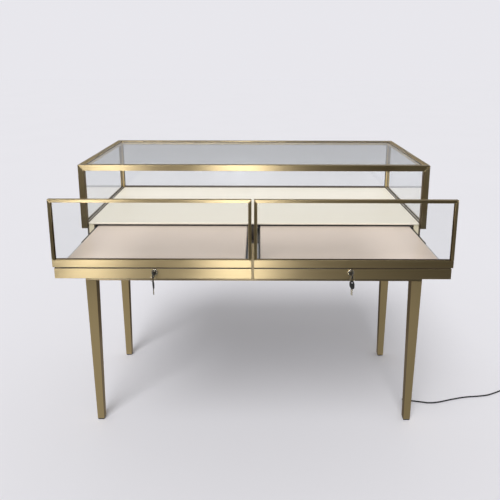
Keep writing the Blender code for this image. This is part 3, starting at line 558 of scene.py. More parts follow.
# painted shade: a dim bronze for the front apron, which stands in the drawers' shade
APRON_SHADE = (rgb(0.340, 0.262, 0.145), rgb(0.440, 0.345, 0.200))
DARK_BRONZE = (rgb(0.120, 0.090, 0.048), rgb(0.170, 0.128, 0.072))

PALE_GOLD_Z = brushed_gold("pale_gold_upright", 2, STANDING, PALE_GOLD)
APRON_SHADE_X = brushed_gold("shaded_apron_gold", 0, LEVEL, APRON_SHADE)
DARK_BRONZE_X = brushed_gold("dark_bronze", 0, LEVEL, DARK_BRONZE)
print("pale gold and two bronzes")

# %% [markdown]
# ## Dressing solids and adding pieces
#
# A solid whose shape is right only needs its material. A new piece also needs the body that it
# moves with and the solid that it stands for, so one helper does all of that.


# %% Helpers for solids and pieces
def dress(material, *names):
    for name in names:
        NODES[name].data.materials.clear()
        NODES[name].data.materials.append(material)


def piece(name, data, material, slot, body, *solids):
    """A new piece with its material, on its body, in place of the named solids."""
    item = bpy.data.objects.new(name, data)
    item.data.materials.clear()
    item.data.materials.append(material)
    bpy.context.scene.collection.objects.link(item)
    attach(item, body)
    if solids:
        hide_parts(*solids)
    return item


def mesh_from(work, name, crease=None):
    """A mesh, which is shaded smooth up to a crease if one is given."""
    bmesh.ops.recalc_face_normals(work, faces=work.faces)
    mesh = bpy.data.meshes.new(name)
    work.to_mesh(mesh)
    work.free()
    if crease:
        mesh.shade_smooth()
        mesh.set_sharp_from_angle(angle=crease)
    return mesh


print("ready to dress solids")

# %% [markdown]
# ## Legs and aprons
#
# The legs' solids taper as the real ones do, and the aprons are plain panels, so both only need
# their finish. The faces between the legs look at each other and at the dark under the counter, so
# they are painted a deeper tone: painted shade. A mask finds them without naming them: their normal
# points back across the middle, so it has the other sign than their place.

# %% Legs and aprons
INNER_FACE_SHADE = rgb(0.300, 0.218, 0.118)
INWARD = -0.2                    # normal times place, on X, below which a face looks inward


# painted shade on the faces between the legs
def shaded_inner_faces(place):
    return [(facing(place).part(0) * place.part(0) < INWARD, INNER_FACE_SHADE, False)]


leg_gold = brushed_gold("leg_gold", 2, STANDING, marks=shaded_inner_faces)
for end in ("front", "rear"):
    dress(leg_gold, *(f"leg_{end}_{side}" for side in SIDES))
dress(GOLD_X, "apron_rear")
# painted shade: the front apron is dressed in a dim bronze
dress(APRON_SHADE_X, "apron_front")
dress(GOLD_Y, "apron_left", "apron_right")
print("legs and aprons dressed")

# %% [markdown]
# ## Gold with painted shade above a level
#
# Each lock rail has a thin tongue on top that fills the gap to the drawer's front, and the rear wall
# stands a hair above the deck. Above a level both are painted dark and bare, as painted shade for
# the gap that shows there as a fine dark line. Dark pieces could stand there instead, but the tongue
# and the wall are part of their solids, so the finish changes at a level.

# %% Gold with painted shade above a level
TONGUE_H = 0.0027                # of the strip between a lock rail and the front above it
STRIP_EDGE = 0.0007
# painted shade for gaps and recesses, used on several members
GAP_SHADE = rgb(0.085, 0.062, 0.036)


def gold_shaded_above(name, level):
    """Brushed gold up to a level, and painted shade above it, dark and not metal."""
    return brushed_gold(name, 0, LEVEL, marks=lambda place: [(place.part(2) > level, GAP_SHADE, True)])


rail_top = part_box("lock_rail_left")[1].z - TONGUE_H - STRIP_EDGE
dress(gold_shaded_above("lock_rail_gold", rail_top), "lock_rail_left", "lock_rail_right")
deck_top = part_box("display_deck")[1].z - STRIP_EDGE
dress(gold_shaded_above("rear_wall_gold", deck_top), "compartment_rear")
print(f"lock rails gold up to {rail_top:.4f} m, rear wall up to {deck_top:.4f} m")

# %% [markdown]
# ## The frame's members
#
# The case and the drawer fronts are welded from lengths of tube and moulding. A mitre joins the
# long top rails to the posts, and the fronts' stiles to their top rails; the stiles stand on the
# lower rail. Cutting one big frame out of a plate would leave no joints and one direction of
# scratches, so each member is made alone: a section is swept along its length, its ends are sloped
# for the mitres, and its edges are broken with a small bevel that catches the light.

# %% A member
BROKEN_EDGE = 0.0006
EDGE_STEPS = 2
JOINT = 0.0001                   # half of the hairline at a joint
X, Y, Z = Vector((1, 0, 0)), Vector((0, 1, 0)), Vector((0, 0, 1))


def member(name, section, corner, run, wide, deep, length, slopes=(0.0, 0.0)):
    """A section of (wide, deep) points swept along run; slopes draw its ends in as wide grows."""
    work = bmesh.new()
    rings = []
    for reach, slope in ((JOINT, slopes[0]), (length - JOINT, -slopes[1])):
        ring = [corner + run * (reach + slope * u) + wide * u + deep * v for u, v in section]
        rings.append([work.verts.new(point) for point in ring])
    work.faces.new(rings[0])
    work.faces.new(rings[1])
    for i in range(len(section)):
        j = (i + 1) % len(section)
        work.faces.new((rings[0][i], rings[0][j], rings[1][j], rings[1][i]))
    bmesh.ops.recalc_face_normals(work, faces=work.faces)
    bmesh.ops.bevel(
        work, geom=work.edges, offset=BROKEN_EDGE, segments=EDGE_STEPS, profile=0.5, affect="EDGES"
    )
    return mesh_from(work, name)


print(f"members get edges broken by {BROKEN_EDGE * 1000:.1f} mm")

# %% [markdown]
# ## Finishes inside the case
#
# Three faces of the case's tubes differ from the rest. The front posts are painted dark on the side
# that looks into the case: painted shade. The lower side rails form a ledge inside the side panes,
# which looks grey through the glass, and beside the deck they end in a dark line of painted shade in
# the gap there. Each lies within a distance from the middle, so masks on that distance find them on
# both sides at once.

# %% Finishes inside the case
TUBE = 0.020
LEDGE_GREY = rgb(0.62, 0.57, 0.48)
POST_INNER_SHADE = rgb(0.175, 0.128, 0.068)

case_low, case_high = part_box("end_frame_left")[0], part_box("end_frame_right")[1]
inner_wall = case_high.x - TUBE + STRIP_EDGE
inner_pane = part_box("glass_right")[0].x


def ledge(place):
    reach = abs(place.part(0))
    # painted shade: the dark line in the gap beside the deck
    return [(reach < inner_pane, LEDGE_GREY, False), (reach < inner_wall, GAP_SHADE, True)]


def shaded_post_inside(place):
    # painted shade: the posts' faces inside the case are painted dark
    return [(abs(place.part(0)) < inner_wall, POST_INNER_SHADE, False)]


ledge_gold = brushed_gold("ledge_gold", 1, LEVEL, marks=ledge)
post_gold_shaded_inside = brushed_gold("post_gold_shaded_inside", 2, STANDING, PALE_GOLD, shaded_post_inside)
print(f"ledge inside {inner_pane:.4f} m, lining inside {inner_wall:.4f} m")

# %% Members of the case
POSTS = (("front", case_low.y, post_gold_shaded_inside), ("rear", case_high.y - TUBE, GOLD_Z))
SIDE_RAILS = (("lower", case_low.z, ledge_gold), ("top", case_high.z - TUBE, GOLD_Y))
SQUARE = [(0.0, 0.0), (TUBE, 0.0), (TUBE, TUBE), (0.0, TUBE)]


def case_member(name, mesh, finish, solid):
    """Rides with the counter and casts no shadow, or thin bands of it would cross the deck."""
    made = piece(name, mesh, finish, "brushed_gold", "counter", solid)
    made.visible_shadow = False


case_w, case_d, case_h = case_high - case_low
for side, sign in SIDES.items():
    solid = "end_frame_" + side
    outer = Vector((sign * case_high.x, 0.0, 0.0))
    for end, near, finish in POSTS:
        foot = outer + Y * near + Z * case_low.z
        post = member(solid + end, SQUARE, foot, Z, -sign * X, Y, case_h, (0.0, 1.0))
        case_member(f"{solid}_{end}_post", post, finish, solid)
    for level, height, finish in SIDE_RAILS:
        start = outer + Y * (case_low.y + TUBE) + Z * height
        rail = member(solid + level, SQUARE, start, Y, -sign * X, Z, case_d - 2 * TUBE)
        case_member(f"{solid}_{level}_rail", rail, finish, solid)
for end, near, finish in POSTS:
    start = Vector((case_low.x, near, case_high.z))
    rail = member("rail_" + end, SQUARE, start, X, -Z, Y, case_w, (1.0, 1.0))
    case_member("case_top_rail_" + end, rail, GOLD_X, "top_rail_" + end)
print(f"case frame: {case_w:.3f} x {case_d:.3f} x {case_h:.3f} m in 10 members")

# %% [markdown]
# ## Drawer fronts
#
# Each front is a slim frame of four mouldings, with a step behind their inner edges where the pane
# sits. The stiles are narrower than the top rail, so their mitre isn't at 45 degrees: its slope is
# the one width over the other.

# %% Members of the drawer fronts
STILE_W = 0.008
TOP_RAIL_H = 0.009
LOWER_RAIL_H = 0.0224
GLASS_SEAT = 0.004               # from the front's face to its pane
GLASS_REBATE = 0.003


def rebated(width, depth):
    """A section with a step behind its inner edge, where the pane sits."""
    inner = width - GLASS_REBATE
    return [(0, 0), (width, 0), (width, GLASS_SEAT), (inner, GLASS_SEAT), (inner, depth), (0, depth)]


for side in SIDES:
    solid, body = "front_frame_" + side, "drawer_" + side
    low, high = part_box(solid)
    wide, tall, depth = high.x - low.x, high.z - low.z, high.y - low.y
    lower = member(solid + "low", rebated(LOWER_RAIL_H, depth), low, X, Z, Y, wide)
    piece(solid + "_lower_rail", lower, GOLD_X, "brushed_gold", body, solid)
    corner = Vector((low.x, low.y, high.z))
    cut = STILE_W / TOP_RAIL_H
    top = member(solid + "top", rebated(TOP_RAIL_H, depth), corner, X, -Z, Y, wide, (cut, cut))
    piece(solid + "_top_rail", top, GOLD_X, "brushed_gold", body, solid)
    for edge, start, inward in (("left", low.x, X), ("right", high.x, -X)):
        foot = Vector((start, low.y, low.z + LOWER_RAIL_H))
        length = tall - LOWER_RAIL_H
        section = rebated(STILE_W, depth)
        stile = member(solid + edge, section, foot, Z, inward, Y, length, (0.0, 1 / cut))
        piece(f"{solid}_{edge}_stile", stile, PALE_GOLD_Z, "brushed_gold", body, solid)
    print(f"{solid}: {wide:.3f} x {tall:.3f} m, four members")

# %% [markdown]
# ## Glass
#
# The case has 6 mm panes with a faint grey body, the drawer fronts thinner and clearer 4 mm ones.
# Real glass bends light twice in each pane, and the shader does the same. Lamps can't be sampled
# through bent light, so for shadow rays and for light that has already scattered the pane is
# plainly transparent and loses a little at each face; the camera still sees real glass.

# %% Glass
CASE_GLASS = rgb(0.860, 0.876, 0.880)
FRONT_GLASS = rgb(0.960, 0.968, 0.966)
LIGHT_LEFT = rgb(0.985, 0.987, 0.987)   # of a lamp's light, after each face of a pane
GLASS_IOR = 1.5
DUST_FADE = (0.55, 0.80)         # of the noise, from clean to dusty
DUST_ROUGH = 0.02


def clear_glass(name, body):
    material, shader, place = new_finish(name)
    dust = noise(place, (0.05, 0.05, 0.05), detail=4.0).fade(*DUST_FADE)
    feed(shader, {"Base Color": body, "Roughness": DUST_ROUGH * dust})
    feed(shader, {"IOR": GLASS_IOR, "Transmission Weight": 1.0})
    nodes = material.node_tree.nodes
    path = nodes.new("ShaderNodeLightPath")
    through = place.node("ShaderNodeBsdfTransparent", None, {"Color": LIGHT_LEFT})
    shown = Socket(shader.outputs[0])
    for kind in ("Is Diffuse Ray", "Is Shadow Ray"):
        factor = Socket(path.outputs[kind])
        shown = factor.node("ShaderNodeMixShader", None, {0: factor, 1: shown, 2: through})
    plug_in(nodes["Material Output"].inputs["Surface"], shown)
    return material


PANES = ("glass_top", "glass_left", "glass_right", "glass_rear")
FRONT_PANES = ("front_glass_left", "front_glass_right")
dress(clear_glass("case_glass", CASE_GLASS), *PANES)
dress(clear_glass("front_glass", FRONT_GLASS), *FRONT_PANES)
for pane in FRONT_PANES:
    NODES[pane].visible_glossy = False   # so that the rails see the cards and not the glass before them
print(f"{len(PANES) + len(FRONT_PANES)} panes")

# %% [markdown]
# ## Seals
#
# Glass never sits bare on metal. The case's panes are bedded in a dark seal, which shows as a thin
# line all round each pane, and the drawer panes are held from behind by a bead in dark bronze. Both
# are flat strips with mitred corners, so each is a flat loop cut from its pane's own outline.

# %% Seals round the panes
SEAL_W = 0.0022
SEAL_T = 0.0006
BEAD_W = 0.0042                  # a little past the edge of the front's members
SEAL_TONES = (rgb(0.080, 0.075, 0.067), rgb(0.125, 0.117, 0.105))


def seal_sockets(place):
    return {
        "Base Color": noise(place, (0.03, 0.03, 0.03)).mix(*SEAL_TONES),
        "Roughness": 0.55,
        "Normal": relief(noise(place, (0.001, 0.001, 0.001)), 0.00002),
    }


def loop_on(work, low, high, axis, level, width, thick):
    """Adds a flat mitred loop on the pane's face that lies at level on its thin axis."""
    u, v = (i for i in range(3) if i != axis)
    corners = []
    for inset in (0.0, width):
        for i, j in ((0, 0), (1, 0), (1, 1), (0, 1)):
            point = [level, level, level]
            point[u] = high[u] - inset if i else low[u] + inset
            point[v] = high[v] - inset if j else low[v] + inset
            corners.append(work.verts.new(point))
    faces = []
    for i in range(4):
        j = (i + 1) % 4
        faces.append(work.faces.new((corners[i], corners[j], corners[4 + j], corners[4 + i])))
    raised = bmesh.ops.extrude_face_region(work, geom=faces, use_keep_orig=True)["geom"]
    lift = Vector([thick if i == axis else 0.0 for i in range(3)])
    bmesh.ops.translate(work, vec=lift, verts=[g for g in raised if isinstance(g, bmesh.types.BMVert)])


seal = plain_finish("dark_seal", seal_sockets)
for pane in PANES:
    low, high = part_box(pane)
    axis = min(range(3), key=lambda i: high[i] - low[i])
    work = bmesh.new()
    loop_on(work, low, high, axis, high[axis], SEAL_W, SEAL_T)
    loop_on(work, low, high, axis, low[axis], SEAL_W, -SEAL_T)
    piece(pane.replace("glass", "seal"), mesh_from(work, pane), seal, "black_plastic", "counter")
for side in SIDES:
    low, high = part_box("front_glass_" + side)
    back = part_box("front_frame_" + side)[1].y
    work = bmesh.new()
    loop_on(work, low, high, 1, high.y, BEAD_W, back - high.y)
    bead = mesh_from(work, "bead_" + side)
    piece("front_bead_" + side, bead, DARK_BRONZE_X, "brushed_gold", "drawer_" + side)
print("four seals and two beads")

# %% [markdown]
# ## The deck
#
# The deck in the case is a board wrapped in cream leatherette, an embossed cloth. Its solid is right
# as it is. The embossed grain could be modelled, but it is a millimetre wide and far from the eye, so
# small cells give it as relief, over slow patches of tone and gloss.

# %% Cream leatherette
CREAM = (rgb(0.905, 0.845, 0.715), rgb(0.955, 0.905, 0.790))
GRAIN = 0.0011
GRAIN_SHARE = 0.25               # of the tone; the rest is slow patches


def leatherette_sockets(place):
    cells = place.node(
        "ShaderNodeTexVoronoi", {"feature": "SMOOTH_F1"}, {"Vector": place, "Scale": 1 / GRAIN}
    )
    weather = noise(place, (0.35, 0.05, 0.05), detail=3.0)
    return {
        "Base Color": ((1 - GRAIN_SHARE) * weather + GRAIN_SHARE * cells).mix(*CREAM),
        "Roughness": 0.34 + 0.12 * weather,
        "Normal": relief(cells, 0.00010, 0.4),
    }


dress(plain_finish("cream_leatherette", leatherette_sockets), "display_deck")
print("deck in cream leatherette")

# %% [markdown]
# ## Shade strip under the deck
#
# A dark bar under the deck's front edge fills the gap over the drawers as painted shade, and it
# shows as a dark line above the pads. It is a plain bar, with noise drawn out upright as its grain.

# %% Shade strip
SHADE_STRIP_DROP = 0.0048               # clear of the pads that run below it
SHADE_STRIP_BACK = 0.0012               # from the deck's front edge
SHADE_STRIP_T = 0.0030
SHADE_STRIP_TONES = (rgb(0.006, 0.005, 0.005), rgb(0.020, 0.018, 0.016))


def shade_strip_sockets(place):
    patch = (0.0006, 0.0006, 0.0040)
    return grain(place, SHADE_STRIP_TONES, patch, detail=2.0, gloss=(0.85, 0.10), bump=(0.00020, 0.6))


low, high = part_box("display_deck")[0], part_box("tray_right")[1]
start = Vector((-high.x, low.y + SHADE_STRIP_BACK, low.z - SHADE_STRIP_DROP))
section = [(0.0, 0.0), (SHADE_STRIP_T, 0.0), (SHADE_STRIP_T, SHADE_STRIP_DROP), (0.0, SHADE_STRIP_DROP)]
# painted shade: a dark bar under the deck's front edge, in the gap over the drawers
strip = member("shade_strip", section, start, X, Y, Z, 2 * high.x)
piece("shade_strip", strip, plain_finish("painted_gap_shade", shade_strip_sockets), "black_plastic", "counter")
print(f"dust strip {2 * high.x:.3f} m long")

# %% [markdown]
# ## Lined pads
#
# The trays carry pads in a pinkish beige: thin foam on board, with a silky cloth rolled over the
# edges. A cushion could be simulated, but a wrapped board holds its shape, so each pad is a fine
# grid that drops away near its border along a quarter circle, with a very slight swell, closed
# underneath. The cloth has a nap. Toward the deck and in a band near the counter's ends it is
# painted paler: a painted sheen.

# %% Lined pads
BEIGE = (rgb(0.600, 0.492, 0.408), rgb(0.670, 0.560, 0.475))
SHEEN_BEIGE = rgb(0.920, 0.780, 0.675)
SHEEN_ENDS = (-0.38, -0.10)        # Y over which the painted sheen comes in, toward the deck
SHEEN_BAND = (0.30, 0.45, 0.56)    # start, middle and end of the band of painted sheen, from the middle outward
SHEEN_BACK, SHEEN_OUTER = 0.55, 0.85   # how strong the painted sheen gets at the deck and in the band
SHEEN_PATCH = 0.3                  # how much the painted sheen differs from patch to patch
NAP_SHARE = 0.6                  # of the tone; the rest is weave
PAD_ROLL = 0.0050
PAD_SWELL = 0.0004
PAD_CELLS = (72, 60)
RIM = 0.02                       # Z of the normal, under which a face is the upright rim


def silk_sockets(place):
    thread = noise(place, (0.0020, 0.0003, 0.0003), detail=3.0)
    weft = noise(place, (0.0003, 0.0020, 0.0003), detail=3.0)
    nap_and_sheen = noise(place, (0.22, 0.16, 0.05), detail=2.0)
    weave = 0.5 * thread + 0.5 * weft
    tone = (NAP_SHARE * nap_and_sheen + (1 - NAP_SHARE) * weave).mix(*BEIGE)
    reach, back = abs(place.part(0)), SHEEN_BACK * place.part(1).fade(*SHEEN_ENDS)
    outer = SHEEN_OUTER * (reach.fade(*SHEEN_BAND[:2]) * (1 - reach.fade(*SHEEN_BAND[1:])))
    # painted sheen: paler toward the deck and in a band near the ends
    painted_sheen = back + outer * (1 - back) + SHEEN_PATCH * nap_and_sheen - SHEEN_PATCH / 2
    return {
        "Base Color": painted_sheen.mix(tone, SHEEN_BEIGE),
        "Roughness": 0.26 + 0.12 * weave,
        "Normal": relief(weave, 0.00005, 0.35),
        "Sheen Weight": 0.12,
        "Sheen Roughness": 0.4,
    }


def rolled_pad(name, low, high):
    """A wrapped board: a grid, crowded toward its border, that rolls down at the edges."""
    work = bmesh.new()
    bmesh.ops.create_grid(work, x_segments=PAD_CELLS[0], y_segments=PAD_CELLS[1], size=1.0)
    middle, half = (low + high) / 2, (high - low) / 2
    for vertex in work.verts:
        u, v = (math.sin(math.pi / 2 * part) for part in vertex.co[:2])
        edges = [half[i] * (1 - abs(part)) for i, part in enumerate((u, v))]
        over = math.hypot(*(max(0.0, 1 - edge / PAD_ROLL) for edge in edges))
        drop = PAD_ROLL * (1 - math.sqrt(max(0.0, 1 - min(1.0, over) ** 2)))
        swell = PAD_SWELL * ((1 - u * u) * (1 - v * v) - 1)
        vertex.co = (middle.x + half.x * u, middle.y + half.y * v, high.z - drop + swell)
    border = [edge for edge in work.edges if edge.is_boundary]
    made = bmesh.ops.extrude_edge_only(work, edges=border)["geom"]
    for vertex in (g for g in made if isinstance(g, bmesh.types.BMVert)):
        vertex.co.z = low.z
    bmesh.ops.contextual_create(work, geom=[g for g in made if isinstance(g, bmesh.types.BMEdge)])
    for face in work.faces:
        face.smooth = abs(face.normal.z) > RIM and len(face.verts) == 4
    return mesh_from(work, name)


silk = plain_finish("beige_lining", silk_sockets)
for side in SIDES:
    solid, body = "tray_pad_" + side, "drawer_" + side
    mesh = rolled_pad(solid + "_mesh", *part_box(solid))
    pad = piece("lined_pad_" + side, mesh, silk, "beige_lining", body, solid)
    pad.visible_glossy = False   # or the rails over it would glow beige
print("two lined pads")

# %% [markdown]
# ## Boards and slides
#
# The trays, the base and the divider are dark board, and the walls beside the drawers are cream,
# painted dark at their outer edge as painted shade where they meet the posts. The telescopic slides
# are rolled steel: zinc on the members that are screwed down, black on the ones that stay between,
# and black on the tray's side of the last ones. The walls and the divider each hold a panel and
# slide members in one solid. Splitting them would change nothing that is seen, so their finish
# changes at the panel's face.

# %% Board and steel
BOARD = (rgb(0.045, 0.036, 0.027), rgb(0.085, 0.066, 0.048))
ZINC = (rgb(0.30, 0.31, 0.33), rgb(0.50, 0.51, 0.53))
BLACK_STEEL = (rgb(0.020, 0.020, 0.021), rgb(0.045, 0.045, 0.046))


def board_sockets(place):
    fibre = (0.004, 0.060, 0.004)
    return grain(place, BOARD, fibre, detail=4.0, gloss=(0.50, 0.15), bump=(0.00006, 0.4))


def steel_sockets(place, colours=ZINC):
    rolled = noise(place, (0.002, 0.120, 0.002), detail=3.0)
    spangle = noise(place, (0.006, 0.006, 0.006), detail=2.0)
    return {
        "Base Color": (0.5 * rolled + 0.5 * spangle).mix(*colours),
        "Roughness": 0.26 + 0.16 * spangle,
        "Normal": relief(rolled, 0.00003, 0.3),
    }


def black_steel_sockets(place):
    return steel_sockets(place, BLACK_STEEL)


def with_steel(mask, panel, steel):
    """A panel's finish, and that of steel where the mask is 1."""
    return {
        "Base Color": mask.mix(panel["Base Color"], steel["Base Color"]),
        "Roughness": panel["Roughness"] * (1 - mask) + steel["Roughness"] * mask,
        "Normal": panel["Normal"],
        "Metallic": mask,
    }


print("board and steel ready")

# %% Boards and slides
PALE_WALL = (rgb(0.780, 0.690, 0.480), rgb(0.850, 0.770, 0.570))
SIDE_FACE = 0.5625               # X of the inner face of the compartment's sides
OUTER_SHADE_X = 0.5796              # X beyond which the wall is painted dark: painted shade where it meets the post
DIVIDER_FACE = 0.0090            # X of the divider's faces
SLIDE_HALVES = (0.0165, 0.5547)  # X of the middles of the inner and the outer slides' last members


def wall_sockets(place):
    reach = abs(place.part(0))
    sockets = with_steel(reach < SIDE_FACE, gold_sockets(place, 1, PALE_WALL), steel_sockets(place))
    # painted shade: dark outside the wall's face, where it meets the post
    sockets["Base Color"] = (reach > OUTER_SHADE_X).mix(sockets["Base Color"], GAP_SHADE)
    return sockets


def divider_sockets(place):
    slide = abs(place.part(0)) > DIVIDER_FACE
    return with_steel(slide, board_sockets(place), steel_sockets(place))


def inner_slide_sockets(place):
    reach = abs(place.part(0))
    black_half = (reach > SLIDE_HALVES[0]) * (reach < SLIDE_HALVES[1])
    steel = steel_sockets(place)
    steel["Base Color"] = black_half.mix(steel["Base Color"], BLACK_STEEL[0])
    return steel


inner_steel = plain_finish("inner_slide", inner_slide_sockets, 1.0)
black_steel = plain_finish("black_steel", black_steel_sockets, 1.0)
dress(plain_finish("dark_board", board_sockets), "tray_left", "tray_right", "base_board")
dress(plain_finish("cream_side", wall_sockets), "compartment_side_left", "compartment_side_right")
dress(plain_finish("dark_divider", divider_sockets), "centre_divider")
for side in SIDES:
    for end in ("outer", "inner"):
        dress(inner_steel, f"slide_inner_{side}_{end}")
        dress(black_steel, f"slide_middle_{side}_{end}")
print("boards and twelve slide members")

# %% [markdown]
# ## Nickel and black mouldings
#
# Locks, rings and keys' blades are nickel plated and buffed, so they are bright with a fine grain.
# The keys' heads, the plug and the foot pads are moulded in black, with a stipple from the mould
# and some wear. The plugs in the locks and the foot pads keep their solids.

# %% Nickel and black mouldings
NICKEL = (rgb(0.72, 0.66, 0.52), rgb(0.86, 0.80, 0.66))
BLACK_MOULDING = (rgb(0.004, 0.004, 0.004), rgb(0.010, 0.010, 0.010))


def nickel_sockets(place):
    buffed = noise(place, (0.0006, 0.0006, 0.006), detail=3.0)
    return {"Base Color": buffed.mix(*NICKEL), "Roughness": 0.12 + 0.14 * buffed}


def black_sockets(place):
    stipple = noise(place, (0.0007, 0.0007, 0.0007), detail=2.0)
    wear = noise(place, (0.02, 0.02, 0.02), detail=3.0)
    return {
        "Base Color": wear.mix(*BLACK_MOULDING),
        "Roughness": 0.34 + 0.16 * wear,
        "Normal": relief(stipple, 0.00004, 0.4),
    }


nickel = plain_finish("nickel", nickel_sockets, 1.0)
black = plain_finish("black_moulding", black_sockets)
dress(nickel, "lock_plug_left", "lock_plug_right")
for end in ("front", "rear"):
    dress(black, *(f"foot_pad_{end}_{side}" for side in SIDES))
print("nickel and black mouldings")

# %% [markdown]
# ## Turned, stamped and drawn shapes
#
# Small hardware is made in three ways. Round parts come off a lathe, so a profile goes once round an
# axis. Flat parts are stamped from sheet, for which a filled curve serves best: it takes holes as
# further outlines, rounds all edges at once and is then made a mesh. Wire is a round section along
# a line.

# %% Turned, stamped and drawn shapes
TURN_STEPS = 64
WELD = 1e-6                      # points closer than this are one
TURNED_CREASE, STAMPED_CREASE = math.radians(32), math.radians(40)


def turned(name, profile, at, axis):
    """A closed profile of (radius, distance) turned about an axis."""
    work = bmesh.new()
    ring = [work.verts.new((radius, 0.0, reach)) for radius, reach in profile]
    edges = [work.edges.new((ring[i - 1], ring[i])) for i in range(len(ring))]
    bmesh.ops.spin(
        work,
        geom=ring + edges,
        axis=(0, 0, 1),
        cent=(0, 0, 0),
        angle=math.radians(360),
        steps=TURN_STEPS,
        use_merge=True,
    )
    bmesh.ops.remove_doubles(work, verts=work.verts, dist=WELD)
    place = Matrix.Translation(at) @ Z.rotation_difference(axis).to_matrix().to_4x4()
    bmesh.ops.transform(work, matrix=place, verts=work.verts)
    return mesh_from(work, name, TURNED_CREASE)


def stamped(name, outlines, thickness, edge, place):
    """Flat outlines, the first with the others as holes, cut from sheet with rounded edges."""
    curve = bpy.data.curves.new(name, "CURVE")
    curve.dimensions = "2D"
    curve.fill_mode = "BOTH"
    curve.extrude = thickness / 2 - edge
    curve.bevel_depth = edge
    curve.bevel_resolution = 2
    curve.offset = -edge
    for outline in outlines:
        spline = curve.splines.new("POLY")
        spline.points.add(len(outline) - 1)
        spline.use_cyclic_u = True
        for point, (u, v) in zip(spline.points, outline):
            point.co = (u, v, 0.0, 1.0)
    holder = bpy.data.objects.new(name, curve)
    bpy.context.scene.collection.objects.link(holder)
    seen = holder.evaluated_get(bpy.context.evaluated_depsgraph_get())
    work = bmesh.new()
    work.from_mesh(seen.to_mesh())
    bpy.data.objects.remove(holder, do_unlink=True)
    bmesh.ops.remove_doubles(work, verts=work.verts, dist=WELD)
    bmesh.ops.transform(work, matrix=place, verts=work.verts)
    return mesh_from(work, name, STAMPED_CREASE)


def arc(centre, radius, start, stop, count):
    """Points on an arc, from start to stop in degrees."""
    turns = (math.radians(start + (stop - start) * i / count) for i in range(count + 1))
    return [(centre[0] + radius * math.cos(a), centre[1] + radius * math.sin(a)) for a in turns]


def wire(name, spots, radius, resolution):
    """A round section along a line of spots."""
    curve = bpy.data.curves.new(name, "CURVE")
    curve.dimensions = "3D"
    curve.bevel_depth = radius
    curve.bevel_resolution = resolution
    curve.use_fill_caps = True
    spline = curve.splines.new("POLY")
    spline.points.add(len(spots) - 1)
    for point, spot in zip(spline.points, spots):
        point.co = (*spot, 1.0)
    return curve


def frame_of(at, run, wide):
    """A place whose u runs along run and whose v along wide."""
    turn = Matrix((run, wide, run.cross(wide))).transposed()
    return Matrix.Translation(at) @ turn.to_4x4()


print("lathe, stamp and wire ready")

# %% [markdown]
# ## Locks
#
# Each drawer has a small cam lock. Its solid is a barrel with a plain bezel. The real bezel is turned,
# with a rounded lip and a broken edge at the bore, so the lock is turned afresh with more steps.

# %% Locks
BEZEL_T = 0.006
BEZEL_R = 0.0095
BARREL_R = 0.0080
BORE_R = 0.0063
LIP_R = 0.0014
BORE_EDGE = 0.0006


def add_lock(side):
    low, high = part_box("lock_body_" + side)
    barrel_l = high.y - low.y - BEZEL_T
    lip = BEZEL_R - LIP_R
    profile = [(BORE_R, BEZEL_T - BORE_EDGE), (BORE_R + BORE_EDGE, BEZEL_T), (lip, BEZEL_T)]
    profile += arc((lip, BEZEL_T - LIP_R), LIP_R, 75, 0, 5)
    profile += [(BEZEL_R, 0.0), (BARREL_R, 0.0), (BARREL_R, -barrel_l), (BORE_R, -barrel_l)]
    at = (low + high) / 2
    at.y = low.y + BEZEL_T
    body = turned("lock_" + side, [(r, -d) for r, d in profile], at, Y)
    piece("turned_lock_" + side, body, nickel, "nickel", "drawer_" + side, "lock_body_" + side)


print(f"bezels {BEZEL_R * 2000:.0f} mm across")

# %% [markdown]
# ## Keys and rings
#
# A key is a nickel blade with a black head moulded on its end. Both are stamped from an outline: a
# head with its hole, and a blade with its cuts and a pointed tip. A second key hangs from the first
# one on a split ring, which is two turns of spring wire side by side, so it is wound as a helix.

# %% Keys and rings
HEAD_L, HEAD_H, HEAD_T = 0.025, 0.022, 0.0028
HEAD_ROUND, HEAD_EDGE = 0.010, 0.0007
HOLE_R = 0.0032
HOLE_BACK = 0.0065               # from the head's free end
BLADE_W, BLADE_T, BLADE_EDGE = 0.0080, 0.0020, 0.0002
BLADE_SEAT = 0.002               # how far a blade reaches into its head
BLADE_CUTS = (0.0012, 0.0026, 0.0008, 0.0021, 0.0015)
CUT_STEP = 0.0030
CUT_FLOOR = (0.35, 0.65)         # where a cut's floor starts and ends, in steps
RING_R = 0.0080
RING_WIRE = 0.00042              # with the pitch, slim enough to swing in the hole
RING_PITCH = 0.00088
RING_TURNS, RING_POINTS = 2, 96
RING_FACES = {"left": math.radians(20), "right": math.radians(26)}   # how far each is turned


def key_head():
    """The head's outline along +u from its free end, with its hole."""
    u, v = HEAD_L - HEAD_ROUND, HEAD_H / 2 - HEAD_ROUND
    outline = [
        *arc((u, v), HEAD_ROUND, 0, 90, 8),
        *arc((HEAD_ROUND, v), HEAD_ROUND, 90, 180, 8),
        *arc((HEAD_ROUND, -v), HEAD_ROUND, 180, 270, 8),
        *arc((u, -v), HEAD_ROUND, 270, 360, 8),
    ]
    return [outline, arc((HOLE_BACK, 0.0), HOLE_R, 360, 15, 23)]


def key_blade(start, stop):
    """The blade's outline, with its cuts in the lower edge and its tip cut to a point."""
    half = BLADE_W / 2
    outline = [(start, half), (start, -half)]
    first = stop - CUT_STEP * (len(BLADE_CUTS) + 0.5)
    for i, cut in enumerate(BLADE_CUTS):
        at = first + CUT_STEP * i
        outline += [(at, -half), *((at + CUT_STEP * share, cut - half) for share in CUT_FLOOR)]
    return [[*outline, (stop - half / 2, -half), (stop, 0.0), (stop - half / 2, half)]]


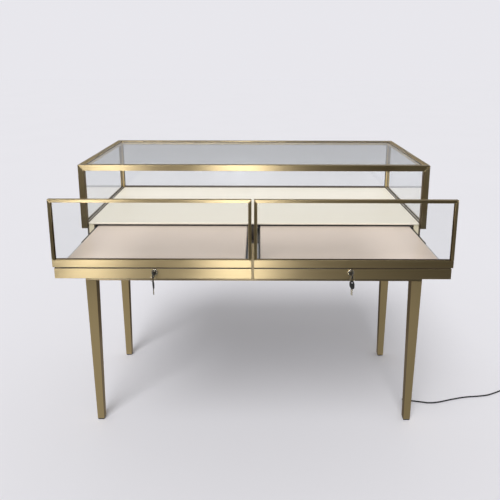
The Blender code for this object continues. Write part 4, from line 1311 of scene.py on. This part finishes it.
def add_key(name, solid, body, place, length):
    """A head and a blade, from the head's free end on, in place of a key's solid."""
    head = stamped(solid + "_head_mesh", key_head(), HEAD_T, HEAD_EDGE, place)
    piece(name.format("head"), head, black, "black_plastic", body, solid)
    outline = key_blade(HEAD_L - BLADE_SEAT, length)
    blade = stamped(solid + "_blade_mesh", outline, BLADE_T, BLADE_EDGE, place)
    piece(name.format("blade"), blade, nickel, "nickel", body, solid)


def wound(at, level, up):
    """Points on turns of wire, side by side, that start at the top."""
    spots = []
    for share in (i / RING_POINTS for i in range(RING_POINTS + 1)):
        angle = math.radians(360 * RING_TURNS * share)
        turn = level * math.sin(angle) + up * math.cos(angle)
        spots.append(at + turn * RING_R + level.cross(up) * RING_PITCH * (share - 0.5))
    return spots


print(f"keys with {len(BLADE_CUTS)} cuts")

# %% Locks, keys and rings in place
for side in SIDES:
    add_lock(side)
    solid = "key_" + side
    low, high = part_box(solid)
    free_end = Vector(((low.x + high.x) / 2, low.y, (low.z + high.z) / 2))
    add_key("key_{}_" + side, solid, "key_plug_" + side, frame_of(free_end, Y, Z), high.y - low.y)

    solid, body = "split_ring_" + side, "key_ring_" + side
    low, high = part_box(solid)
    turn = Matrix.Rotation(RING_FACES[side], 3, "Z")
    ring = wire("wire_" + side, wound((low + high) / 2, turn @ X, Z), RING_WIRE, 3)
    piece("wound_ring_" + side, ring, nickel, "nickel", body, solid)

    solid = "spare_key_" + side
    low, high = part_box(solid)
    top = Vector(((low.x + high.x) / 2, (low.y + high.y) / 2, high.z))
    add_key("spare_{}_" + side, solid, body, frame_of(top, -Z, turn @ Y), high.z - low.z)
print("two locks, four keys, two rings")

# %% [markdown]
# ## Light and driver
#
# The lead feeds a slim light bar that is tucked behind the front top rail, through a small driver
# under the board. The bar is an aluminium channel with an opal cover on its sloping face; the
# shader finds that face by its direction.

# %% Light bar and driver
ALUMINIUM = (rgb(0.60, 0.61, 0.62), rgb(0.72, 0.73, 0.74))
OPAL = rgb(0.83, 0.82, 0.78)
OPAL_FACES = (0.0, 0.7071, -0.7071)
OPAL_LEAST = 0.9                 # how nearly a face has to look that way
DRIVER_TONES = (rgb(0.70, 0.70, 0.69), rgb(0.77, 0.77, 0.755))


def light_bar_sockets(place):
    drawn = noise(place, (0.080, 0.001, 0.001), detail=2.0)
    look = facing(place)
    toward = look.node(
        "ShaderNodeVectorMath", {"operation": "DOT_PRODUCT"}, {0: look, 1: OPAL_FACES}, output=1
    )
    opal = toward > OPAL_LEAST
    return {
        "Base Color": opal.mix(drawn.mix(*ALUMINIUM), OPAL),
        "Roughness": 0.30 + 0.25 * opal + 0.06 * drawn,
        "Metallic": 1 - opal,
    }


def driver_sockets(place):
    spark = (0.0009, 0.0009, 0.0009)
    return grain(place, DRIVER_TONES, spark, detail=2.0, gloss=(0.42, 0.14), bump=(0.00006, 0.5))


dress(plain_finish("light_bar", light_bar_sockets), "light_bar")
NODES["light_bar"].visible_shadow = False   # like the rail before it
dress(plain_finish("driver_case", driver_sockets), "light_driver")
print("light bar and driver dressed")

# %% [markdown]
# ## The lead
#
# Now the line from the start of the lesson becomes a lead: one curve with a round section, black
# and slightly soft in its gloss. It leaves the leg through a strain relief, whose ribs let it bend a
# little at a time. The relief is turned, each rib from four points of its profile.

# %% The lead
RUBBER = (rgb(0.010, 0.010, 0.010), rgb(0.024, 0.024, 0.024))


def rubber_sockets(place):
    skin = (0.004, 0.004, 0.004)
    sockets = grain(place, RUBBER, skin, detail=3.0, gloss=(0.40, 0.15), bump=(0.00005, 0.3))
    return {**sockets, "Specular IOR Level": 0.12}


rubber = plain_finish("cord_rubber", rubber_sockets)
line = wire("lead", LEAD_LINE, CORD_D / 2, 4)
lead = piece("mains_lead", line, rubber, "cord_rubber", "counter", "power_cord", "power_cord_coil")
print(f"lead {CORD_D * 1000:.0f} mm thick")

# %% Strain relief
RIBS = 5
RIB_SINK = 0.0010
RIB = ((0.15, RIB_SINK), (0.40, RIB_SINK), (0.55, 0.0), (0.95, 0.0))   # how far along, how deep
COLLAR_L = 0.005
COLLAR_FLAT = 0.8                # of its length, before its edge is broken
COLLAR_EDGE, COLLAR_STEP = 0.0006, 0.0008
TIP_WALL, TIP_EDGE, LEAST_WALL = 0.0009, 0.0004, 0.0004

bore = CORD_D / 2
relief_l = relief_high.y - relief_low.y
base_r = (relief_high.x - relief_low.x) / 2
tip_r = bore + TIP_WALL
profile = [(bore, 0.0), (base_r, 0.0), (base_r, COLLAR_L * COLLAR_FLAT), (base_r - COLLAR_EDGE, COLLAR_L)]
for i in range(RIBS):
    for share, sink in RIB:
        reach = (i + share) / RIBS
        radius = base_r - COLLAR_STEP + (tip_r - base_r + COLLAR_STEP) * reach
        profile.append((max(radius - sink, bore + LEAST_WALL), COLLAR_L + (relief_l - COLLAR_L) * reach))
profile += [(tip_r - TIP_EDGE, relief_l), (bore, relief_l)]
boot = turned("boot", profile, Vector((CORD_EXIT.x, relief_low.y, CORD_EXIT.z)), Y)
boot = piece("ribbed_relief", boot, rubber, "black_plastic", "counter", "strain_relief")
print(f"relief {relief_l * 1000:.1f} mm with {RIBS} ribs")

# %% [markdown]
# ## Plug and strap
#
# The lead ends in a flat plug, moulded on, with two pins whose roots are sleeved. The plug is stamped
# with edges so round that it looks moulded, and the pins are turned. A strap of the lead's own rubber
# goes round the coil's bundle on one side, flat where it lies on the floor, and is stamped too: its
# outline is the bundle's, its thickness the strap's width.

# %% Plug
PLUG_L, PLUG_W, PLUG_NECK_W, PLUG_TAPER = 0.035, 0.026, 0.012, 0.0158
PLUG_CORNER, PLUG_EDGE = 0.003, 0.0028
PIN_R, PIN_L, PIN_SPACING = 0.0020, 0.019, 0.0186
PIN_SEAT = 0.001                 # how far a pin reaches into the plug
PIN_POINT = 0.001                # length of a pin's taper, and its radius at the end
BARE_PIN_R = PIN_R * 0.97
SLEEVE_L = 0.010
SLEEVE = [(0, 0), (PIN_R, 0), (PIN_R, SLEEVE_L), (0, SLEEVE_L)]
TIP = [
    (0, SLEEVE_L), (BARE_PIN_R, SLEEVE_L), (BARE_PIN_R, PIN_L - PIN_POINT), (PIN_POINT, PIN_L), (0, PIN_L)
]

plug_at = LEAD_LINE[-1] + off_coil * CORD_GAP
across = Z.cross(off_coil)
half, neck = PLUG_W / 2, PLUG_NECK_W / 2
outline = [(0.0, -neck)]
outline += arc((PLUG_TAPER, -half + PLUG_CORNER), PLUG_CORNER, 245, 270, 4)
outline += arc((PLUG_L - PLUG_CORNER, -half + PLUG_CORNER), PLUG_CORNER, 270, 360, 6)
outline += [(u, -v) for u, v in reversed(outline)]
place = frame_of(plug_at, off_coil, across)
plug = stamped("plug", [outline], PLUG_T - 2 * CORD_GAP, PLUG_EDGE, place)
plug = piece("flat_plug", plug, black, "black_plastic", "counter", "power_plug")
for i, shift in enumerate((-PIN_SPACING / 2, PIN_SPACING / 2)):
    root = plug_at + across * shift + off_coil * (PLUG_L - PIN_SEAT)
    sleeve = turned(f"sleeve_{i}", SLEEVE, root, off_coil)
    piece(f"pin_sleeve_{i}", sleeve, black, "black_plastic", "counter", "power_plug")
    tip = turned(f"tip_{i}", TIP, root, off_coil)
    piece(f"pin_tip_{i}", tip, nickel, "nickel", "counter", "power_plug")
print(f"plug with pins {PIN_SPACING * 1000:.1f} mm apart")

# %% Strap
STRAP_W, STRAP_T = 0.008, 0.0007
STRAP_GAP = 0.0002               # to the bundle
STRAP_UNDER = 0.00025            # its thickness on the floor
STRAP_ROUND, STRAP_EDGE = 0.003, 0.0001

inner = COIL_R - COIL_PITCH * (COIL_TURNS + CLIMB_TURNS / 2) - CORD_D / 2
outer = COIL_R + CORD_D / 2
top = CORD_Z + COIL_PITCH + CORD_D / 2


def band(grow, floor):
    """The strap's outline round the coil's bundle, grown outward and flat on the floor."""
    r = STRAP_ROUND + grow
    low_u, high_u, high_v = inner - grow, outer + grow, top + grow
    outline = [(low_u, floor), (high_u, floor)]
    outline += arc((high_u - r, high_v - r), r, 0, 90, 6)
    return outline + arc((low_u + r, high_v - r), r, 90, 180, 6)


rings = [band(STRAP_T + STRAP_GAP, 0.0), band(STRAP_GAP, STRAP_UNDER)[::-1]]
strap = stamped("strap", rings, STRAP_W, STRAP_EDGE, frame_of(COIL_CENTRE, -X, Z))
strap = piece("coil_strap", strap, rubber, "cord_rubber", "counter")
print(f"lead {LEAD_LENGTH:.3f} m with plug and strap")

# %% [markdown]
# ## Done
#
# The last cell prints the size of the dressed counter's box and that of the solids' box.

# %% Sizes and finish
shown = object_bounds()
for name, (low, high) in (("solids", CAD_BOX), ("dressed", shown)):
    print(name, " x ".join(f"{b - a:.4f}" for a, b in zip(low, high)), "m")
